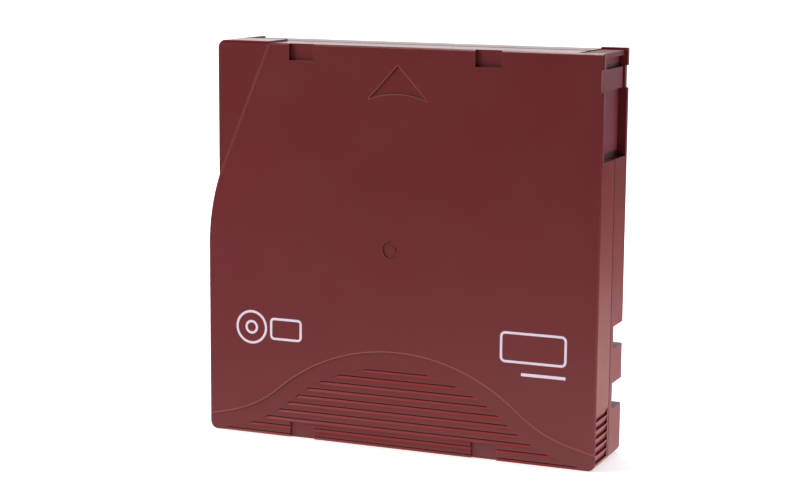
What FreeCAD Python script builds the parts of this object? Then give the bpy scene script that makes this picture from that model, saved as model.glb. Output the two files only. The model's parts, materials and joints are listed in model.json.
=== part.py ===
import FreeCAD, Part
import Sketcher
import math
import os
import re

# Half-inch data tape cartridge, in millimetres, standing on its rear edge.
# Every piece is drawn lying flat: x across the width, y from the rear edge
# to the front edge, z through the thickness with the arrow face on top.
# STAND then turns it up, so that y becomes height and the arrow face
# looks along -Y.

V = FreeCAD.Vector
STAND = FreeCAD.Rotation(V(1, 0, 0), 90)

SIZES = [
    # casing
    ("cart_width", 105.4, "width over both sides"),
    ("cart_depth", 102.0, "rear edge to front edge"),
    ("cart_thick", 21.5, "thickness over both shells"),
    ("upper_height", 10.9, "upper shell's share of the thickness"),
    ("plate", 1.7, "thickness of the two big plates"),
    ("side_wall", 2.0, "thickness of the walls round the rim"),
    ("corner_round", 2.0, "plan radius of the casing's corners"),
    ("edge_break", 0.35, "chamfer of the plates' outer edges"),
    ("front_relief", 0.4, "how far the front wall's middle stands back"),
    ("upper_horn", 17.5, "upper shell: full front edge, from the left side"),
    ("lower_horn", 6.1, "lower shell: the same"),
    ("inset", 3.05, "step in of the left side near the front"),
    ("inset_length", 34.6, "length of that step"),
    ("bulge_length", 18.5, "length of the curve back to full width"),
    ("zone_depth", 0.3, "depth of the lowered zones on the arrow face"),
    ("zone_front", 17.45, "corner zone: its edge at the front, from the left side"),
    # grip zone
    ("bell_top", 24.9, "height of the bell-shaped zone"),
    ("bell_radius", 49.3, "radius of its crown"),
    ("flank_radius", 33.0, "radius of its flanks"),
    ("flank_angle", 41.2, "slope where crown and flank meet, degrees"),
    ("foot_angle", 14.0, "slope where the flank runs out, degrees"),
    ("grip_margin", 4.2, "smooth border between the zone's edge and the grooves"),
    ("groove_first_y", 20.0, "upper edge of the first groove"),
    ("groove_pitch", 2.12, "spacing of the grip grooves and side pockets"),
    ("groove_height", 1.15, "height of one groove"),
    ("groove_depth", 0.45, "depth of one groove"),
    ("groove_undercut", 0.12, "run of a groove's steep wall"),
    ("groove_count", 10, "number of grip grooves"),
    ("pocket_first_y", 12.3, "ledge of the first side pocket"),
    ("pocket_depth", 0.75, "depth of a side pocket at its ledge"),
    ("pocket_run", 1.95, "length of a side pocket"),
    ("pocket_reach", 10.0, "side pockets: far end, under the arrow face"),
    ("pocket_rim", 0.5, "rim left between them and the arrow face"),
    ("pocket_count", 6, "number of side pockets"),
    # marks moulded in the arrow face
    ("arrow_tip", 4.95, "tip of the insertion arrow, from the front edge"),
    ("arrow_foot", 13.4, "its two back corners"),
    ("arrow_half", 7.8, "half its width"),
    ("arrow_sag", 1.5, "rise of its curved base"),
    ("dimple_radius", 2.45, "round dent over the reel's axis"),
    ("dimple_depth", 0.3, "its depth"),
    ("dimple_core", 0.9, "radius of the stud left in the dent"),
    ("notch_spread", 24.95, "edge notches: middle from the reel's axis"),
    ("notch_width", 6.8, "their width"),
    ("notch_front", 4.6, "length of the front pair"),
    ("notch_rear", 4.1, "length of the rear pair"),
    ("notch_depth", 1.0, "their depth"),
    # access window and its door
    ("window_length", 26.5, "side window, from the front edge"),
    ("window_return", 6.9, "its part in the front wall, from the side"),
    ("rim_notch", 9.75, "shallow notch in the window's rims: rear end, from the front edge"),
    ("rim_notch_length", 5.45, "its length"),
    ("rim_notch_depth", 0.6, "its depth"),
    ("door_gap", 0.1, "door to side wall"),
    ("door_thick", 1.3, "door's plate"),
    ("door_length", 31.5, "rear end of the door's plate, from the front edge"),
    ("door_front", 0.6, "door short of the front edge"),
    ("door_lip", 1.2, "thickness of the door's front return"),
    ("door_lip_proud", 1.2, "front lip's height over the plate"),
    ("door_side_gap", 0.15, "door to the big plates"),
    ("catch_length", 5.2, "raised catch on the door, along the slide"),
    ("catch_proud", 1.0, "its height over the plate"),
    ("catch_back", 9.7, "its rear end, from the front edge"),
    ("door_travel", 16.5, "how far the door slides back"),
    ("rail_width", 1.0, "rails that hold the door's edges"),
    ("rail_height", 2.0, "their height over the plate"),
    ("rail_gap", 0.3, "rail to the door's inner face"),
    ("rail_back", 62.0, "rear end of the rails, from the front edge"),
    ("rod_z", 4.0, "door's spring rod over mid-thickness"),
    ("rod_inset", 1.8, "side wall to the rod's axis"),
    ("rod_radius", 0.8, "rod"),
    ("rod_clear", 0.35, "rod in the slot of its seat wall"),
    ("shoulder_side", 1.6, "block at the rod's foot: rod's axis to its inner side"),
    ("shoulder_half", 1.8, "half its height"),
    ("shoulder_length", 3.0, "its length"),
    ("seat_back", 65.5, "seat wall of the door's spring, from the front edge"),
    ("seat_thick", 1.5, "its thickness"),
    ("door_coil_radius", 1.35, "mean radius of the door's spring"),
    ("door_wire", 0.4, "its wire"),
    ("door_coil_turns", 9, "its turns"),
    # reel
    ("reel_x", -1.25, "reel's axis across the width"),
    ("reel_forward", 0.1, "reel's axis ahead of mid-depth"),
    ("flange_gap", 0.5, "both flanges to the front wall"),
    ("reel_side_gap", 0.5, "the least from them to the block at the door's rod"),
    ("reel_gap", 13.0, "clear width between the flanges"),
    ("lower_flange", 1.2, "lower flange"),
    ("upper_flange", 1.1, "upper flange"),
    ("hub_radius", 22.0, "outside of the hub"),
    ("hub_bore", 19.2, "inside of the hub"),
    ("spigot_radius", 20.4, "spigot that centres the upper flange"),
    ("weld_gap", 0.1, "spigot to the upper flange"),
    ("hub_floor", 1.8, "hub floor"),
    ("pack_margin", 1.5, "wound tape inside the flanges' edge"),
    ("tape_width", 12.65, "half-inch tape"),
    ("pack_gap", 0.05, "tape to the hub"),
    ("drive_inner", 15.6, "ring of drive teeth, inside"),
    ("drive_outer", 18.6, "ring of drive teeth, outside"),
    ("drive_tooth", 1.2, "height of a drive tooth"),
    ("drive_root", 1.3, "width of a drive tooth at its root"),
    ("drive_tip", 0.5, "width at its tip"),
    ("tooth_count", 60, "teeth in the drive ring"),
    ("clutch_inner", 5.5, "steel ring, inside"),
    ("clutch_outer", 14.8, "steel ring, outside"),
    ("clutch_thick", 1.0, "steel ring"),
    ("pilot_radius", 3.2, "centre hole in the hub floor"),
    # lock inside the hub
    ("lock_inner", 14.6, "ring of lock teeth, inside"),
    ("lock_outer", 18.0, "ring of lock teeth, outside"),
    ("lock_block", 2.5, "height of the hub's lock blocks"),
    ("lock_count", 24, "teeth in the lock's ring"),
    ("lock_tooth", 1.2, "height of a lock tooth"),
    ("lock_root", 2.2, "width of a lock tooth at its root"),
    ("lock_tip", 0.9, "width at its tip"),
    ("lock_clear", 0.1, "tip to root in the meshed teeth"),
    ("brake_radius", 18.4, "lock disc"),
    ("brake_thick", 2.0, "lock disc"),
    ("boss_radius", 6.5, "boss on the lock disc"),
    ("boss_height", 3.6, "its height"),
    ("brake_lift", 2.0, "travel of the lock"),
    ("post_span", 9.0, "cross post in the boss, across"),
    ("post_width", 1.6, "its ribs"),
    ("post_clear", 0.2, "cross post in its slots"),
    ("brake_coil_radius", 8.6, "mean radius of the lock's spring"),
    ("brake_wire", 0.7, "its wire"),
    ("brake_coil_turns", 4, "its turns"),
    ("rib_thick", 1.0, "pin seats and guard ribs"),
    ("pad_thick", 1.7, "release pad"),
    ("pad_clear", 0.1, "pad to the hub floor and to the lock"),
    ("pad_arm", 5.6, "width of the pad's arms"),
    ("leg_width", 4.4, "pad's legs, across"),
    ("leg_inner", 15.65, "pad's legs, inside"),
    ("leg_outer", 18.3, "pad's legs, outside"),
    ("leg_clear", 0.35, "legs in the hub floor"),
    ("leg_stop", 0.2, "legs short of the drive teeth's tips"),
    ("arm_sector", 27.0, "half the gap between lock blocks, degrees"),
    # openings and ribs of the lower shell
    ("opening_radius", 19.6, "hub opening"),
    ("opening_chamfer", 0.6, "its outer chamfer"),
    ("bead_inner", 20.2, "beads that the reel rests on, inside"),
    ("bead_outer", 21.6, "beads, outside"),
    ("reel_clear", 0.1, "reel over its beads"),
    ("guard_gap", 1.2, "guard ribs round the reel's flanges"),
    ("side_notch_depth", 2.5, "notches in the lower shell's sides"),
    ("side_notch_drop", 13.45, "their upper wall under the arrow face"),
    ("hold_notch_y", 12.9, "rear notch"),
    ("hold_notch_length", 6.4, "its length"),
    ("latch_notch_y", 28.2, "front notch, right side only"),
    ("latch_notch_length", 5.5, "its length"),
    ("notch_backing", 1.5, "wall behind the side notches"),
    # screws
    ("screw_rear_side", 11.7, "rear screws from the sides"),
    ("screw_rear_y", 10.0, "rear screws"),
    ("screw_front", 6.1, "front screws from the front edge"),
    ("screw_left_side", 8.8, "front left screw from the side"),
    ("screw_right_side", 19.2, "front right screw from the side"),
    ("boss_outer", 3.4, "screw bosses"),
    ("screw_shank", 1.0, "radius of the shank"),
    ("screw_length", 13.0, "length under the head"),
    ("screw_head", 2.3, "radius of the head"),
    ("screw_head_height", 1.4, "head"),
    ("screw_sink", 3.5, "depth of the head's recess"),
    ("screw_clear", 0.25, "shank and head in their holes"),
    ("thread_clear", 0.02, "shank in the upper boss"),
    ("driver_width", 0.5, "slots of the screw's drive"),
    ("driver_span", 2.4, "their length"),
    ("driver_depth", 0.7, "their depth"),
    # leader
    ("pin_side", 10.2, "leader pin from the right side"),
    ("pin_front", 9.0, "leader pin from the front edge"),
    ("pin_radius", 1.2, "leader pin's shaft"),
    ("pin_flange", 2.9, "radius of its flanges"),
    ("pin_flange_thick", 1.0, "their thickness"),
    ("pin_end_gap", 0.15, "pin to the big plates"),
    ("pin_spring_wire", 0.6, "wire of the pin's springs"),
    ("pin_spring_gap", 0.15, "that wire to the pin's flange and to the seat"),
    ("seat_height", 2.2, "pin seats over the plates"),
    ("seat_leg", 3.0, "straight part of the pin seats"),
    ("clip_wall", 0.75, "clip round the pin"),
    ("clip_gap", 0.05, "clip to the pin"),
    ("clip_mouth", 1.6, "opening of the clip"),
    ("leader_thick", 0.2, "free strip of tape"),
    ("leader_gap", 0.05, "strip to the wound tape and to the clip"),
    # write-protect tab
    ("tab_window_side", 21.7, "tab's window from the left side"),
    ("tab_window_width", 10.5, "window"),
    ("tab_window_low", 3.15, "window over the lower face"),
    ("tab_window_height", 5.2, "window"),
    ("tab_nub_width", 4.5, "finger nub"),
    ("tab_nub_gap", 0.4, "nub to the window's edges"),
    ("tab_nub_set_back", 0.5, "nub inside the rear face"),
    ("tab_overlap", 6.2, "tab's plate past its nub, each side"),
    ("tab_thick", 1.3, "tab's plate"),
    ("tab_gap", 0.1, "tab to the walls round it"),
    ("tab_travel", 5.2, "slide of the tab"),
    ("tab_guard", 1.2, "wall behind the tab"),
    ("tab_guard_margin", 1.0, "that wall past the tab's ends"),
    ("label_side", 4.7, "label recess from the right side"),
    ("label_width", 62.0, "label recess"),
    ("label_height", 16.4, "label recess"),
    ("label_depth", 0.3, "label recess"),
    # memory
    ("board_side", 7.0, "memory board's middle from the left side"),
    ("board_y", 6.5, "memory board's middle"),
    ("board_length", 10.0, "board"),
    ("board_height", 14.0, "board"),
    ("board_thick", 0.8, "board"),
    ("board_clear", 0.1, "board to the plate and to its posts"),
    ("antenna_width", 1.2, "band of the antenna"),
    ("antenna_margin", 0.7, "antenna inside the board's edge"),
    ("antenna_thick", 0.15, "antenna"),
    ("chip_side", 2.6, "chip"),
    ("chip_thick", 0.6, "chip"),
    ("board_post", 0.8, "radius of the board's posts"),
    ("board_post_height", 6.0, "their height"),
]
BOARD_TURN = -45
COIL_FACETS = 8     # flat stretches in one turn of a spring

# places that follow from those sizes
PLACES = {
    "upper_horn_x": "cart_width / 2 - upper_horn",
    "lower_horn_x": "cart_width / 2 - lower_horn",
    "zone_front_x": "cart_width / 2 - zone_front",
    "arrow_tip_y": "cart_depth - arrow_tip",
    "arrow_foot_y": "cart_depth - arrow_foot",
    "window_y": "cart_depth - window_length",
    "window_x": "cart_width / 2 - window_return",
    "rim_notch_y": "cart_depth - rim_notch",
    "door_rear_y": "cart_depth - door_length",
    "door_front_y": "cart_depth - door_front",
    "catch_y": "cart_depth - catch_back",
    "rail_rear_y": "cart_depth - rail_back",
    "seat_y": "cart_depth - seat_back",
    "reel_y": "cart_depth / 2 + reel_forward",
    "front_room": "cart_depth / 2 - reel_forward - front_relief - side_wall - flange_gap",
    "side_room": "cart_width / 2 - side_wall - rod_inset - shoulder_side - reel_side_gap - reel_x",
    "flange_radius": "min(front_room; side_room)",
    "pack_radius": "flange_radius - pack_margin",
    "guard_radius": "flange_radius + guard_gap",
    "screw_rear_x": "cart_width / 2 - screw_rear_side",
    "screw_front_y": "cart_depth - screw_front",
    "screw_left_x": "cart_width / 2 - screw_left_side",
    "screw_right_x": "cart_width / 2 - screw_right_side",
    "pin_x": "cart_width / 2 - pin_side",
    "pin_y": "cart_depth - pin_front",
    "tab_window_x": "tab_window_side - cart_width / 2",
    "label_left_x": "cart_width / 2 - label_side - label_width",
    "board_x": "board_side - cart_width / 2",
}
OVER = "1"          # how far a cutting sketch runs past the material

# levels through the thickness
TOP = "(cart_thick / 2)"
CEILING = "(cart_thick / 2 - plate)"
PARTING = "(cart_thick / 2 - upper_height)"
FLOOR = "(plate - cart_thick / 2)"
BOTTOM = "(-cart_thick / 2)"
HALF = "(cart_width / 2)"
SIDE_IN = "(cart_width / 2 - side_wall)"
FRONT_IN = "(cart_depth - front_relief - side_wall)"
# levels inside the reel
REEL_BASE = "(-reel_gap / 2 - lower_flange)"
FLOOR_TOP = f"({REEL_BASE} + hub_floor)"
LOCK_BASE = f"({FLOOR_TOP} + lock_block)"
BRAKE_BASE = f"({LOCK_BASE} + lock_tooth + lock_clear)"
BRAKE_TOP = f"({BRAKE_BASE} + brake_thick)"
PAD_BASE = f"({FLOOR_TOP} + pad_clear)"
PAD_TOP = f"({PAD_BASE} + pad_thick)"
# door and its rod
DOOR_OUT = f"({SIDE_IN} - door_gap)"
DOOR_IN = f"({DOOR_OUT} - door_thick)"
DOOR_HALF = f"({CEILING} - door_side_gap)"
ROD_X = f"({SIDE_IN} - rod_inset)"
RAIL_X = f"({DOOR_IN} - rail_gap - rail_width)"
RAIL_END = "(door_front_y - door_lip - door_travel - 0.5)"
# write-protect tab
NUB_X = "(tab_window_x + tab_nub_gap)"
TAB_X = f"({NUB_X} - tab_overlap)"
TAB_LENGTH = "(tab_nub_width + 2 * tab_overlap)"
SCREWS = [
    ("(-screw_rear_x)", "screw_rear_y"),
    ("screw_rear_x", "screw_rear_y"),
    ("(-screw_left_x)", "screw_front_y"),
    ("screw_right_x", "screw_front_y"),
]

doc = FreeCAD.newDocument("TapeCartridge")
sheet = doc.addObject("Spreadsheet::Sheet", "Sizes")
NAMES = {name for name, value, note in SIZES}


def fillSheet():
    for row, (name, value, note) in enumerate(SIZES, start=1):
        sheet.set(f"A{row}", str(value))
        sheet.setAlias(f"A{row}", name)
        sheet.set(f"B{row}", note)
    doc.recompute()


def formula(text):
    """The text with its places spelt out and each size written as a cell of the sheet."""
    def word(match):
        name = match[0]
        if name in PLACES:
            return f"({formula(PLACES[name])})"
        return "Sizes." + name if name in NAMES else name
    return re.sub(r"[A-Za-z_]\w*", word, str(text))


def number(text):
    return float(sheet.evalExpression(formula(text)))


def bind(thing, prop, text):
    thing.setExpression(prop, formula(text))


# ---------------------------------------------------------------- sketches

def newBody(label, x="0", y="0", z="0", turn=0):
    """A body drawn lying flat about (x, y, z), stood up with the cartridge."""
    body = doc.addObject("PartDesign::Body", label)
    body.Label = label
    volumeBefore[body.Name] = 0
    body.Placement = FreeCAD.Placement(V(0, 0, 0), STAND * FreeCAD.Rotation(V(0, 0, 1), turn))
    bind(body, "Placement.Base.x", x)
    bind(body, "Placement.Base.y", f"-({z})")
    bind(body, "Placement.Base.z", y)
    return body


def newSketch(body, name, level="0", plane="XY_Plane"):
    sketch = body.newObject("Sketcher::SketchObject", name)
    support = [f for f in body.Origin.OriginFeatures if f.Role == plane][0]
    sketch.AttachmentSupport = [(support, "")]
    sketch.MapMode = "FlatFace"
    bind(sketch, "AttachmentOffset.Base.z", level)
    return sketch


def hold(sketch, kind, *where_and_text):
    *where, text = where_and_text
    index = sketch.addConstraint(Sketcher.Constraint(kind, *where, number(text)))
    bind(sketch, f"Constraints[{index}]", text)


def loop(sketch, corners):
    """A closed outline. A corner is (x, y), or (x, y, radius, side) where an arc
    leaves it: side 1 bulges to the left of the way, -1 to the right."""
    points = [V(number(c[0]), number(c[1]), 0) for c in corners]
    edges = []
    for i, corner in enumerate(corners):
        start = points[i]
        end = points[(i + 1) % len(points)]
        if len(corner) == 2:
            edges.append(sketch.addGeometry(Part.LineSegment(start, end)))
            continue
        radius = number(corner[2])
        chord = end - start
        rise = radius - math.sqrt(radius ** 2 - (chord.Length / 2) ** 2)
        left = V(-chord.y, chord.x, 0).normalize()
        middle = (start + end) / 2 + left * (rise * corner[3])
        edges.append(sketch.addGeometry(Part.Arc(start, middle, end)))
    ends = []
    for i, edge in enumerate(edges):
        first = sketch.getPoint(edge, 1)
        ends.append((1, 2) if (first - points[i]).Length < 1e-6 else (2, 1))
    for i, edge in enumerate(edges):
        after = (i + 1) % len(edges)
        sketch.addConstraint(
            Sketcher.Constraint("Coincident", edge, ends[i][1], edges[after], ends[after][0]))
        hold(sketch, "DistanceX", edge, ends[i][0], corners[i][0])
        hold(sketch, "DistanceY", edge, ends[i][0], corners[i][1])
        if len(corners[i]) > 2:
            hold(sketch, "Radius", edge, corners[i][2])
    return sketch


def box(sketch, x, y, width, height):
    right = f"({x} + {width})"
    upper = f"({y} + {height})"
    return loop(sketch, [(x, y), (right, y), (right, upper), (x, upper)])


def circle(sketch, x, y, radius):
    edge = sketch.addGeometry(Part.Circle(V(number(x), number(y), 0), V(0, 0, 1), number(radius)))
    hold(sketch, "DistanceX", edge, 3, x)
    hold(sketch, "DistanceY", edge, 3, y)
    hold(sketch, "Radius", edge, radius)
    return sketch


def octagon(sketch, x, y, radius):
    """Eight-sided boss, hole or shank, its corners on the radius."""
    return loop(sketch, [
        (f"({x} + {radius} * cos({angle}))", f"({y} + {radius} * sin({angle}))")
        for angle in range(0, 360, 45)])


def sector(sketch, x, y, inner, outer, start, end):
    """Part of a ring between two angles in degrees, under half a turn."""
    def at(radius, angle):
        return (f"({x} + {radius} * cos({angle}))", f"({y} + {radius} * sin({angle}))")
    return loop(sketch, [
        (*at(outer, start), outer, -1), at(outer, end),
        (*at(inner, end), inner, 1), at(inner, start)])


# ---------------------------------------------------------------- features

def pad(sketch, length, down=False):
    body = sketch.getParentGeoFeatureGroup()
    feature = body.newObject("PartDesign::Pad", sketch.Name + "_pad")
    feature.Profile = sketch
    bind(feature, "Length", length)
    feature.Reversed = down
    return settle(body, feature, 1)


def pocket(sketch, length, up=False):
    body = sketch.getParentGeoFeatureGroup()
    feature = body.newObject("PartDesign::Pocket", sketch.Name + "_cut")
    feature.Profile = sketch
    bind(feature, "Length", length)
    feature.Reversed = up
    return settle(body, feature, -1)


def revolve(sketch, groove=False):
    """A full turn about the body's own z axis."""
    body = sketch.getParentGeoFeatureGroup()
    kind = "PartDesign::Groove" if groove else "PartDesign::Revolution"
    feature = body.newObject(kind, sketch.Name + "_turned")
    feature.Profile = sketch
    feature.ReferenceAxis = (sketch, ["V_Axis"])
    feature.Angle = 360
    return settle(body, feature, -1 if groove else 1)


def axisOf(body, role):
    return [f for f in body.Origin.OriginFeatures if f.Role == role][0]


def around(body, originals, count, angle=360):
    """Copies of features, spaced round the body's z axis."""
    gain = volumeSign(originals[-1])
    feature = body.newObject("PartDesign::PolarPattern", originals[-1].Name + "_ring")
    feature.Originals = originals
    feature.Axis = (axisOf(body, "Z_Axis"), [""])
    feature.Angle = angle
    bind(feature, "Occurrences", count)
    return settle(body, feature, gain)


def along(body, originals, count, pitch, role="Y_Axis", back=True):
    """Copies of features in a row along one of the body's axes."""
    gain = volumeSign(originals[-1])
    feature = body.newObject("PartDesign::LinearPattern", originals[-1].Name + "_row")
    feature.Originals = originals
    feature.Direction = (axisOf(body, role), [""])
    feature.Reversed = back
    bind(feature, "Length", f"{pitch} * ({count} - 1)")
    bind(feature, "Occurrences", count)
    return settle(body, feature, gain)


def volumeSign(feature):
    return -1 if feature.TypeId in ("PartDesign::Pocket", "PartDesign::Groove") else 1


volumeBefore = {}


def settle(body, feature, gain):
    """Recompute one feature and make sure that it added or took material."""
    before = volumeBefore[body.Name]
    body.Tip = feature
    doc.recompute()
    change = feature.Shape.Volume - before
    if change * gain <= 0:
        raise RuntimeError(f"{feature.Name} changed the volume by {change:.3f}")
    volumeBefore[body.Name] = feature.Shape.Volume
    return feature


def roundEdges(body, radius, wanted, kind="Fillet"):
    """Fillet or chamfer the tip's edges that wanted(middle, edge) picks."""
    base = body.Tip
    names = []
    for i, edge in enumerate(base.Shape.Edges, start=1):
        middle = edge.valueAt((edge.FirstParameter + edge.LastParameter) / 2)
        if wanted(middle, edge):
            names.append(f"Edge{i}")
    feature = body.newObject("PartDesign::" + kind, f"{body.Name}_{kind}")
    feature.Base = (base, names)
    bind(feature, "Radius" if kind == "Fillet" else "Size", radius)
    body.Tip = feature
    doc.recompute()
    volumeBefore[body.Name] = feature.Shape.Volume
    return feature


def upright(edge):
    return abs(edge.tangentAt(edge.FirstParameter).z) > 0.99


# ---------------------------------------------------------------- casing

def casingOutline(sketch, hornX, rightHorn):
    """Plan of a shell: left inset, its curve, and the relieved front wall."""
    front = "cart_depth"
    relieved = "(cart_depth - front_relief)"
    inset = f"(inset - {HALF})"
    corners = [(f"(-{HALF})", "0"), (HALF, "0")]
    if rightHorn:
        corners += [(HALF, front), ("window_x", front), ("window_x", relieved)]
    else:
        corners += [(HALF, relieved)]
    corners += [
        (f"(-{hornX})", relieved), (f"(-{hornX})", front), (inset, front),
        (inset, "(cart_depth - inset_length)", BULGE_RADIUS, -1),
        (f"(-{HALF})", "(cart_depth - inset_length - bulge_length)")]
    return loop(sketch, corners)


BULGE_RADIUS = "((bulge_length ^ 2 + inset ^ 2) / (2 * inset))"


def cavityOutline(sketch):
    """The casing's plan moved in by one wall."""
    inset = f"(inset + side_wall - {HALF})"
    bend = "(cart_depth - inset_length - bulge_length)"
    inner = f"({BULGE_RADIUS} - side_wall)"
    rise = f"sqrt({inner} ^ 2 - ({inner} - inset) ^ 2)"
    return loop(sketch, [
        (f"(-{SIDE_IN})", "side_wall"), (SIDE_IN, "side_wall"), (SIDE_IN, FRONT_IN),
        (inset, FRONT_IN), (inset, f"({bend} + {rise})", inner, -1), (f"(-{SIDE_IN})", bend)])


def windowOutline(sketch):
    """Side window that runs round the front right corner."""
    outer = f"({HALF} + {OVER})"
    inner = f"({SIDE_IN} - 0.01)"
    front = f"(cart_depth + {OVER})"
    frontIn = f"({FRONT_IN} - 0.01)"
    return loop(sketch, [
        (inner, "window_y"), (outer, "window_y"), (outer, front),
        ("window_x", front), ("window_x", frontIn), (inner, frontIn)])


def trimCasing(body, face, corners):
    """Round the plan corners of one moulding and break its outer edges."""
    width = number(HALF)
    depth = number("cart_depth")
    inset = width - number("inset")

    def corner(middle, edge):
        if not upright(edge):
            return False
        rear = middle.y < 0.1 and abs(middle.x) > width - 0.1
        frontLeft = middle.y > depth - 0.1 and middle.x < 0.1 - inset
        return rear or frontLeft

    def rim(middle, edge):
        return abs(middle.z - face) < 1e-4

    roundEdges(body, "corner_round", corner)
    roundEdges(body, "edge_break", rim, "Chamfer")


def sideRimNotch(body, level, length, down):
    """Shallow notch in the rim beside the door's catch."""
    sketch = newSketch(body, "rim_notch", level)
    box(sketch, f"({HALF} - rim_notch_depth)", "rim_notch_y",
        f"(rim_notch_depth + {OVER})", "rim_notch_length")
    pocket(sketch, length, up=not down)


def pinSeat(body, level, down):
    """U-shaped wall that holds one end of the leader pin, open to the window."""
    inner = "(pin_flange + 2 * pin_spring_gap + pin_spring_wire)"
    outer = f"({inner} + rib_thick)"
    mouth = "(pin_x + seat_leg)"
    sketch = newSketch(body, "pin_seat", level)
    loop(sketch, [
        (mouth, f"(pin_y + {outer})"), ("pin_x", f"(pin_y + {outer})", f"{outer}", -1),
        (f"(pin_x - {outer})", "pin_y", f"{outer}", -1), ("pin_x", f"(pin_y - {outer})"),
        (mouth, f"(pin_y - {outer})"), (mouth, f"(pin_y - {inner})"),
        ("pin_x", f"(pin_y - {inner})", f"{inner}", 1), (f"(pin_x - {inner})", "pin_y", f"{inner}", 1),
        ("pin_x", f"(pin_y + {inner})"), (mouth, f"(pin_y + {inner})")])
    pad(sketch, "seat_height", down)


def guardRibs(body, length):
    """Arcs that keep the reel clear of the walls in three corners."""
    for start, end in ((207, 243), (118, 152), (292, 324)):
        sketch = newSketch(body, "guard_rib", FLOOR)
        sector(sketch, "reel_x", "reel_y", "guard_radius", "(guard_radius + rib_thick)", start, end)
        pad(sketch, length)


def doorRail(body, level, down):
    sketch = newSketch(body, "door_rail", level)
    box(sketch, RAIL_X, "rail_rear_y", "rail_width", f"({RAIL_END} - rail_rear_y)")
    pad(sketch, "rail_height", down)


def labelRecess(body):
    """Shallow bed in the rear wall, shared by both mouldings."""
    sketch = newSketch(body, "label_bed", "(-label_depth)", "XZ_Plane")
    box(sketch, "label_left_x", "(-label_height / 2)", "label_width", "label_height")
    pocket(sketch, f"(label_depth + {OVER})", up=True)


def bellPoints(margin):
    """Crown and flank points of the grip zone's edge, moved in by a margin."""
    crown = f"(bell_radius - {margin})"
    flank = f"(flank_radius + {margin})"
    crest = f"(bell_top - {margin})"
    x1 = f"({crown} * sin(flank_angle))"
    y1 = f"({crest} - {crown} * (1 - cos(flank_angle)))"
    x2 = f"({x1} + {flank} * (sin(flank_angle) - sin(foot_angle)))"
    y2 = f"({y1} - {flank} * (cos(foot_angle) - cos(flank_angle)))"
    return crown, flank, crest, x1, y1, x2, y2


def bellOutline(sketch, margin, reach):
    """The bell from its left foot to its right, then round past the rear edge."""
    crown, flank, crest, x1, y1, x2, y2 = bellPoints(margin)
    foot = f"({y2} - ({reach} - {x2}) * tan(foot_angle))"
    return loop(sketch, [
        (f"(-{reach})", foot), (f"(-{x2})", y2, flank, -1),
        (f"(-{x1})", y1, crown, 1), ("0", crest, crown, 1), (x1, y1, flank, -1), (x2, y2),
        (reach, foot), (reach, "-8"), (f"(-{reach})", "-8")])


def faceMarks(body):
    """Lowered zones, arrow, dent and edge notches of the arrow face."""
    zone = newSketch(body, "bell_zone", f"({TOP} - zone_depth)")
    bellOutline(zone, "0", f"({HALF} + {OVER})")
    pocket(zone, f"(zone_depth + {OVER})", up=True)

    insetX = f"(inset - {HALF})"
    bendY = "(cart_depth - inset_length)"
    slope = f"((-zone_front_x - {insetX}) / inset_length)"
    corner = newSketch(body, "corner_zone", f"({TOP} - zone_depth)")
    loop(corner, [
        (f"({insetX} - {slope} * {OVER} - {OVER})", f"({bendY} - {OVER} - {OVER} / {slope})"),
        (f"(-zone_front_x + {slope} * {OVER})", f"(cart_depth + {OVER})"),
        (f"({insetX} - {slope} * {OVER} - {OVER})", f"(cart_depth + {OVER})")])
    pocket(corner, f"(zone_depth + {OVER})", up=True)

    arrow = newSketch(body, "arrow", f"({TOP} - zone_depth)")
    base = "((arrow_half ^ 2 + arrow_sag ^ 2) / (2 * arrow_sag))"
    loop(arrow, [
        ("0", "arrow_tip_y"), ("(-arrow_half)", "arrow_foot_y", base, 1),
        ("arrow_half", "arrow_foot_y")])
    pocket(arrow, f"(zone_depth + {OVER})", up=True)

    dent = newSketch(body, "dimple", f"({TOP} - dimple_depth)")
    circle(dent, "reel_x", "reel_y", "dimple_radius")
    circle(dent, "reel_x", "reel_y", "dimple_core")
    pocket(dent, f"(dimple_depth + {OVER})", up=True)

    notches = newSketch(body, "edge_notches", f"({TOP} - notch_depth)")
    for side in ("-1", "1"):
        left = f"(reel_x + {side} * notch_spread - notch_width / 2)"
        box(notches, left, "(cart_depth - notch_front)", "notch_width", f"(notch_front + {OVER})")
        box(notches, left, f"(-{OVER})", "notch_width", f"(notch_rear + {OVER})")
    pocket(notches, f"(notch_depth + {OVER})", up=True)


def sidePockets(body):
    """Sawtooth finger grips on both sides, near the rear."""
    sketch = newSketch(body, "side_pockets", f"({TOP} - pocket_reach)")
    top = "(pocket_first_y + pocket_run)"
    for side in ("-1", "1"):
        loop(sketch, [
            (f"({side} * ({HALF} + {OVER}))", "pocket_first_y"),
            (f"({side} * ({HALF} - pocket_depth))", "pocket_first_y"),
            (f"({side} * {HALF})", top), (f"({side} * ({HALF} + {OVER}))", top)])
    first = pocket(sketch, "(pocket_reach - pocket_rim)", up=True)
    along(body, [first], "pocket_count", "groove_pitch")


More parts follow.
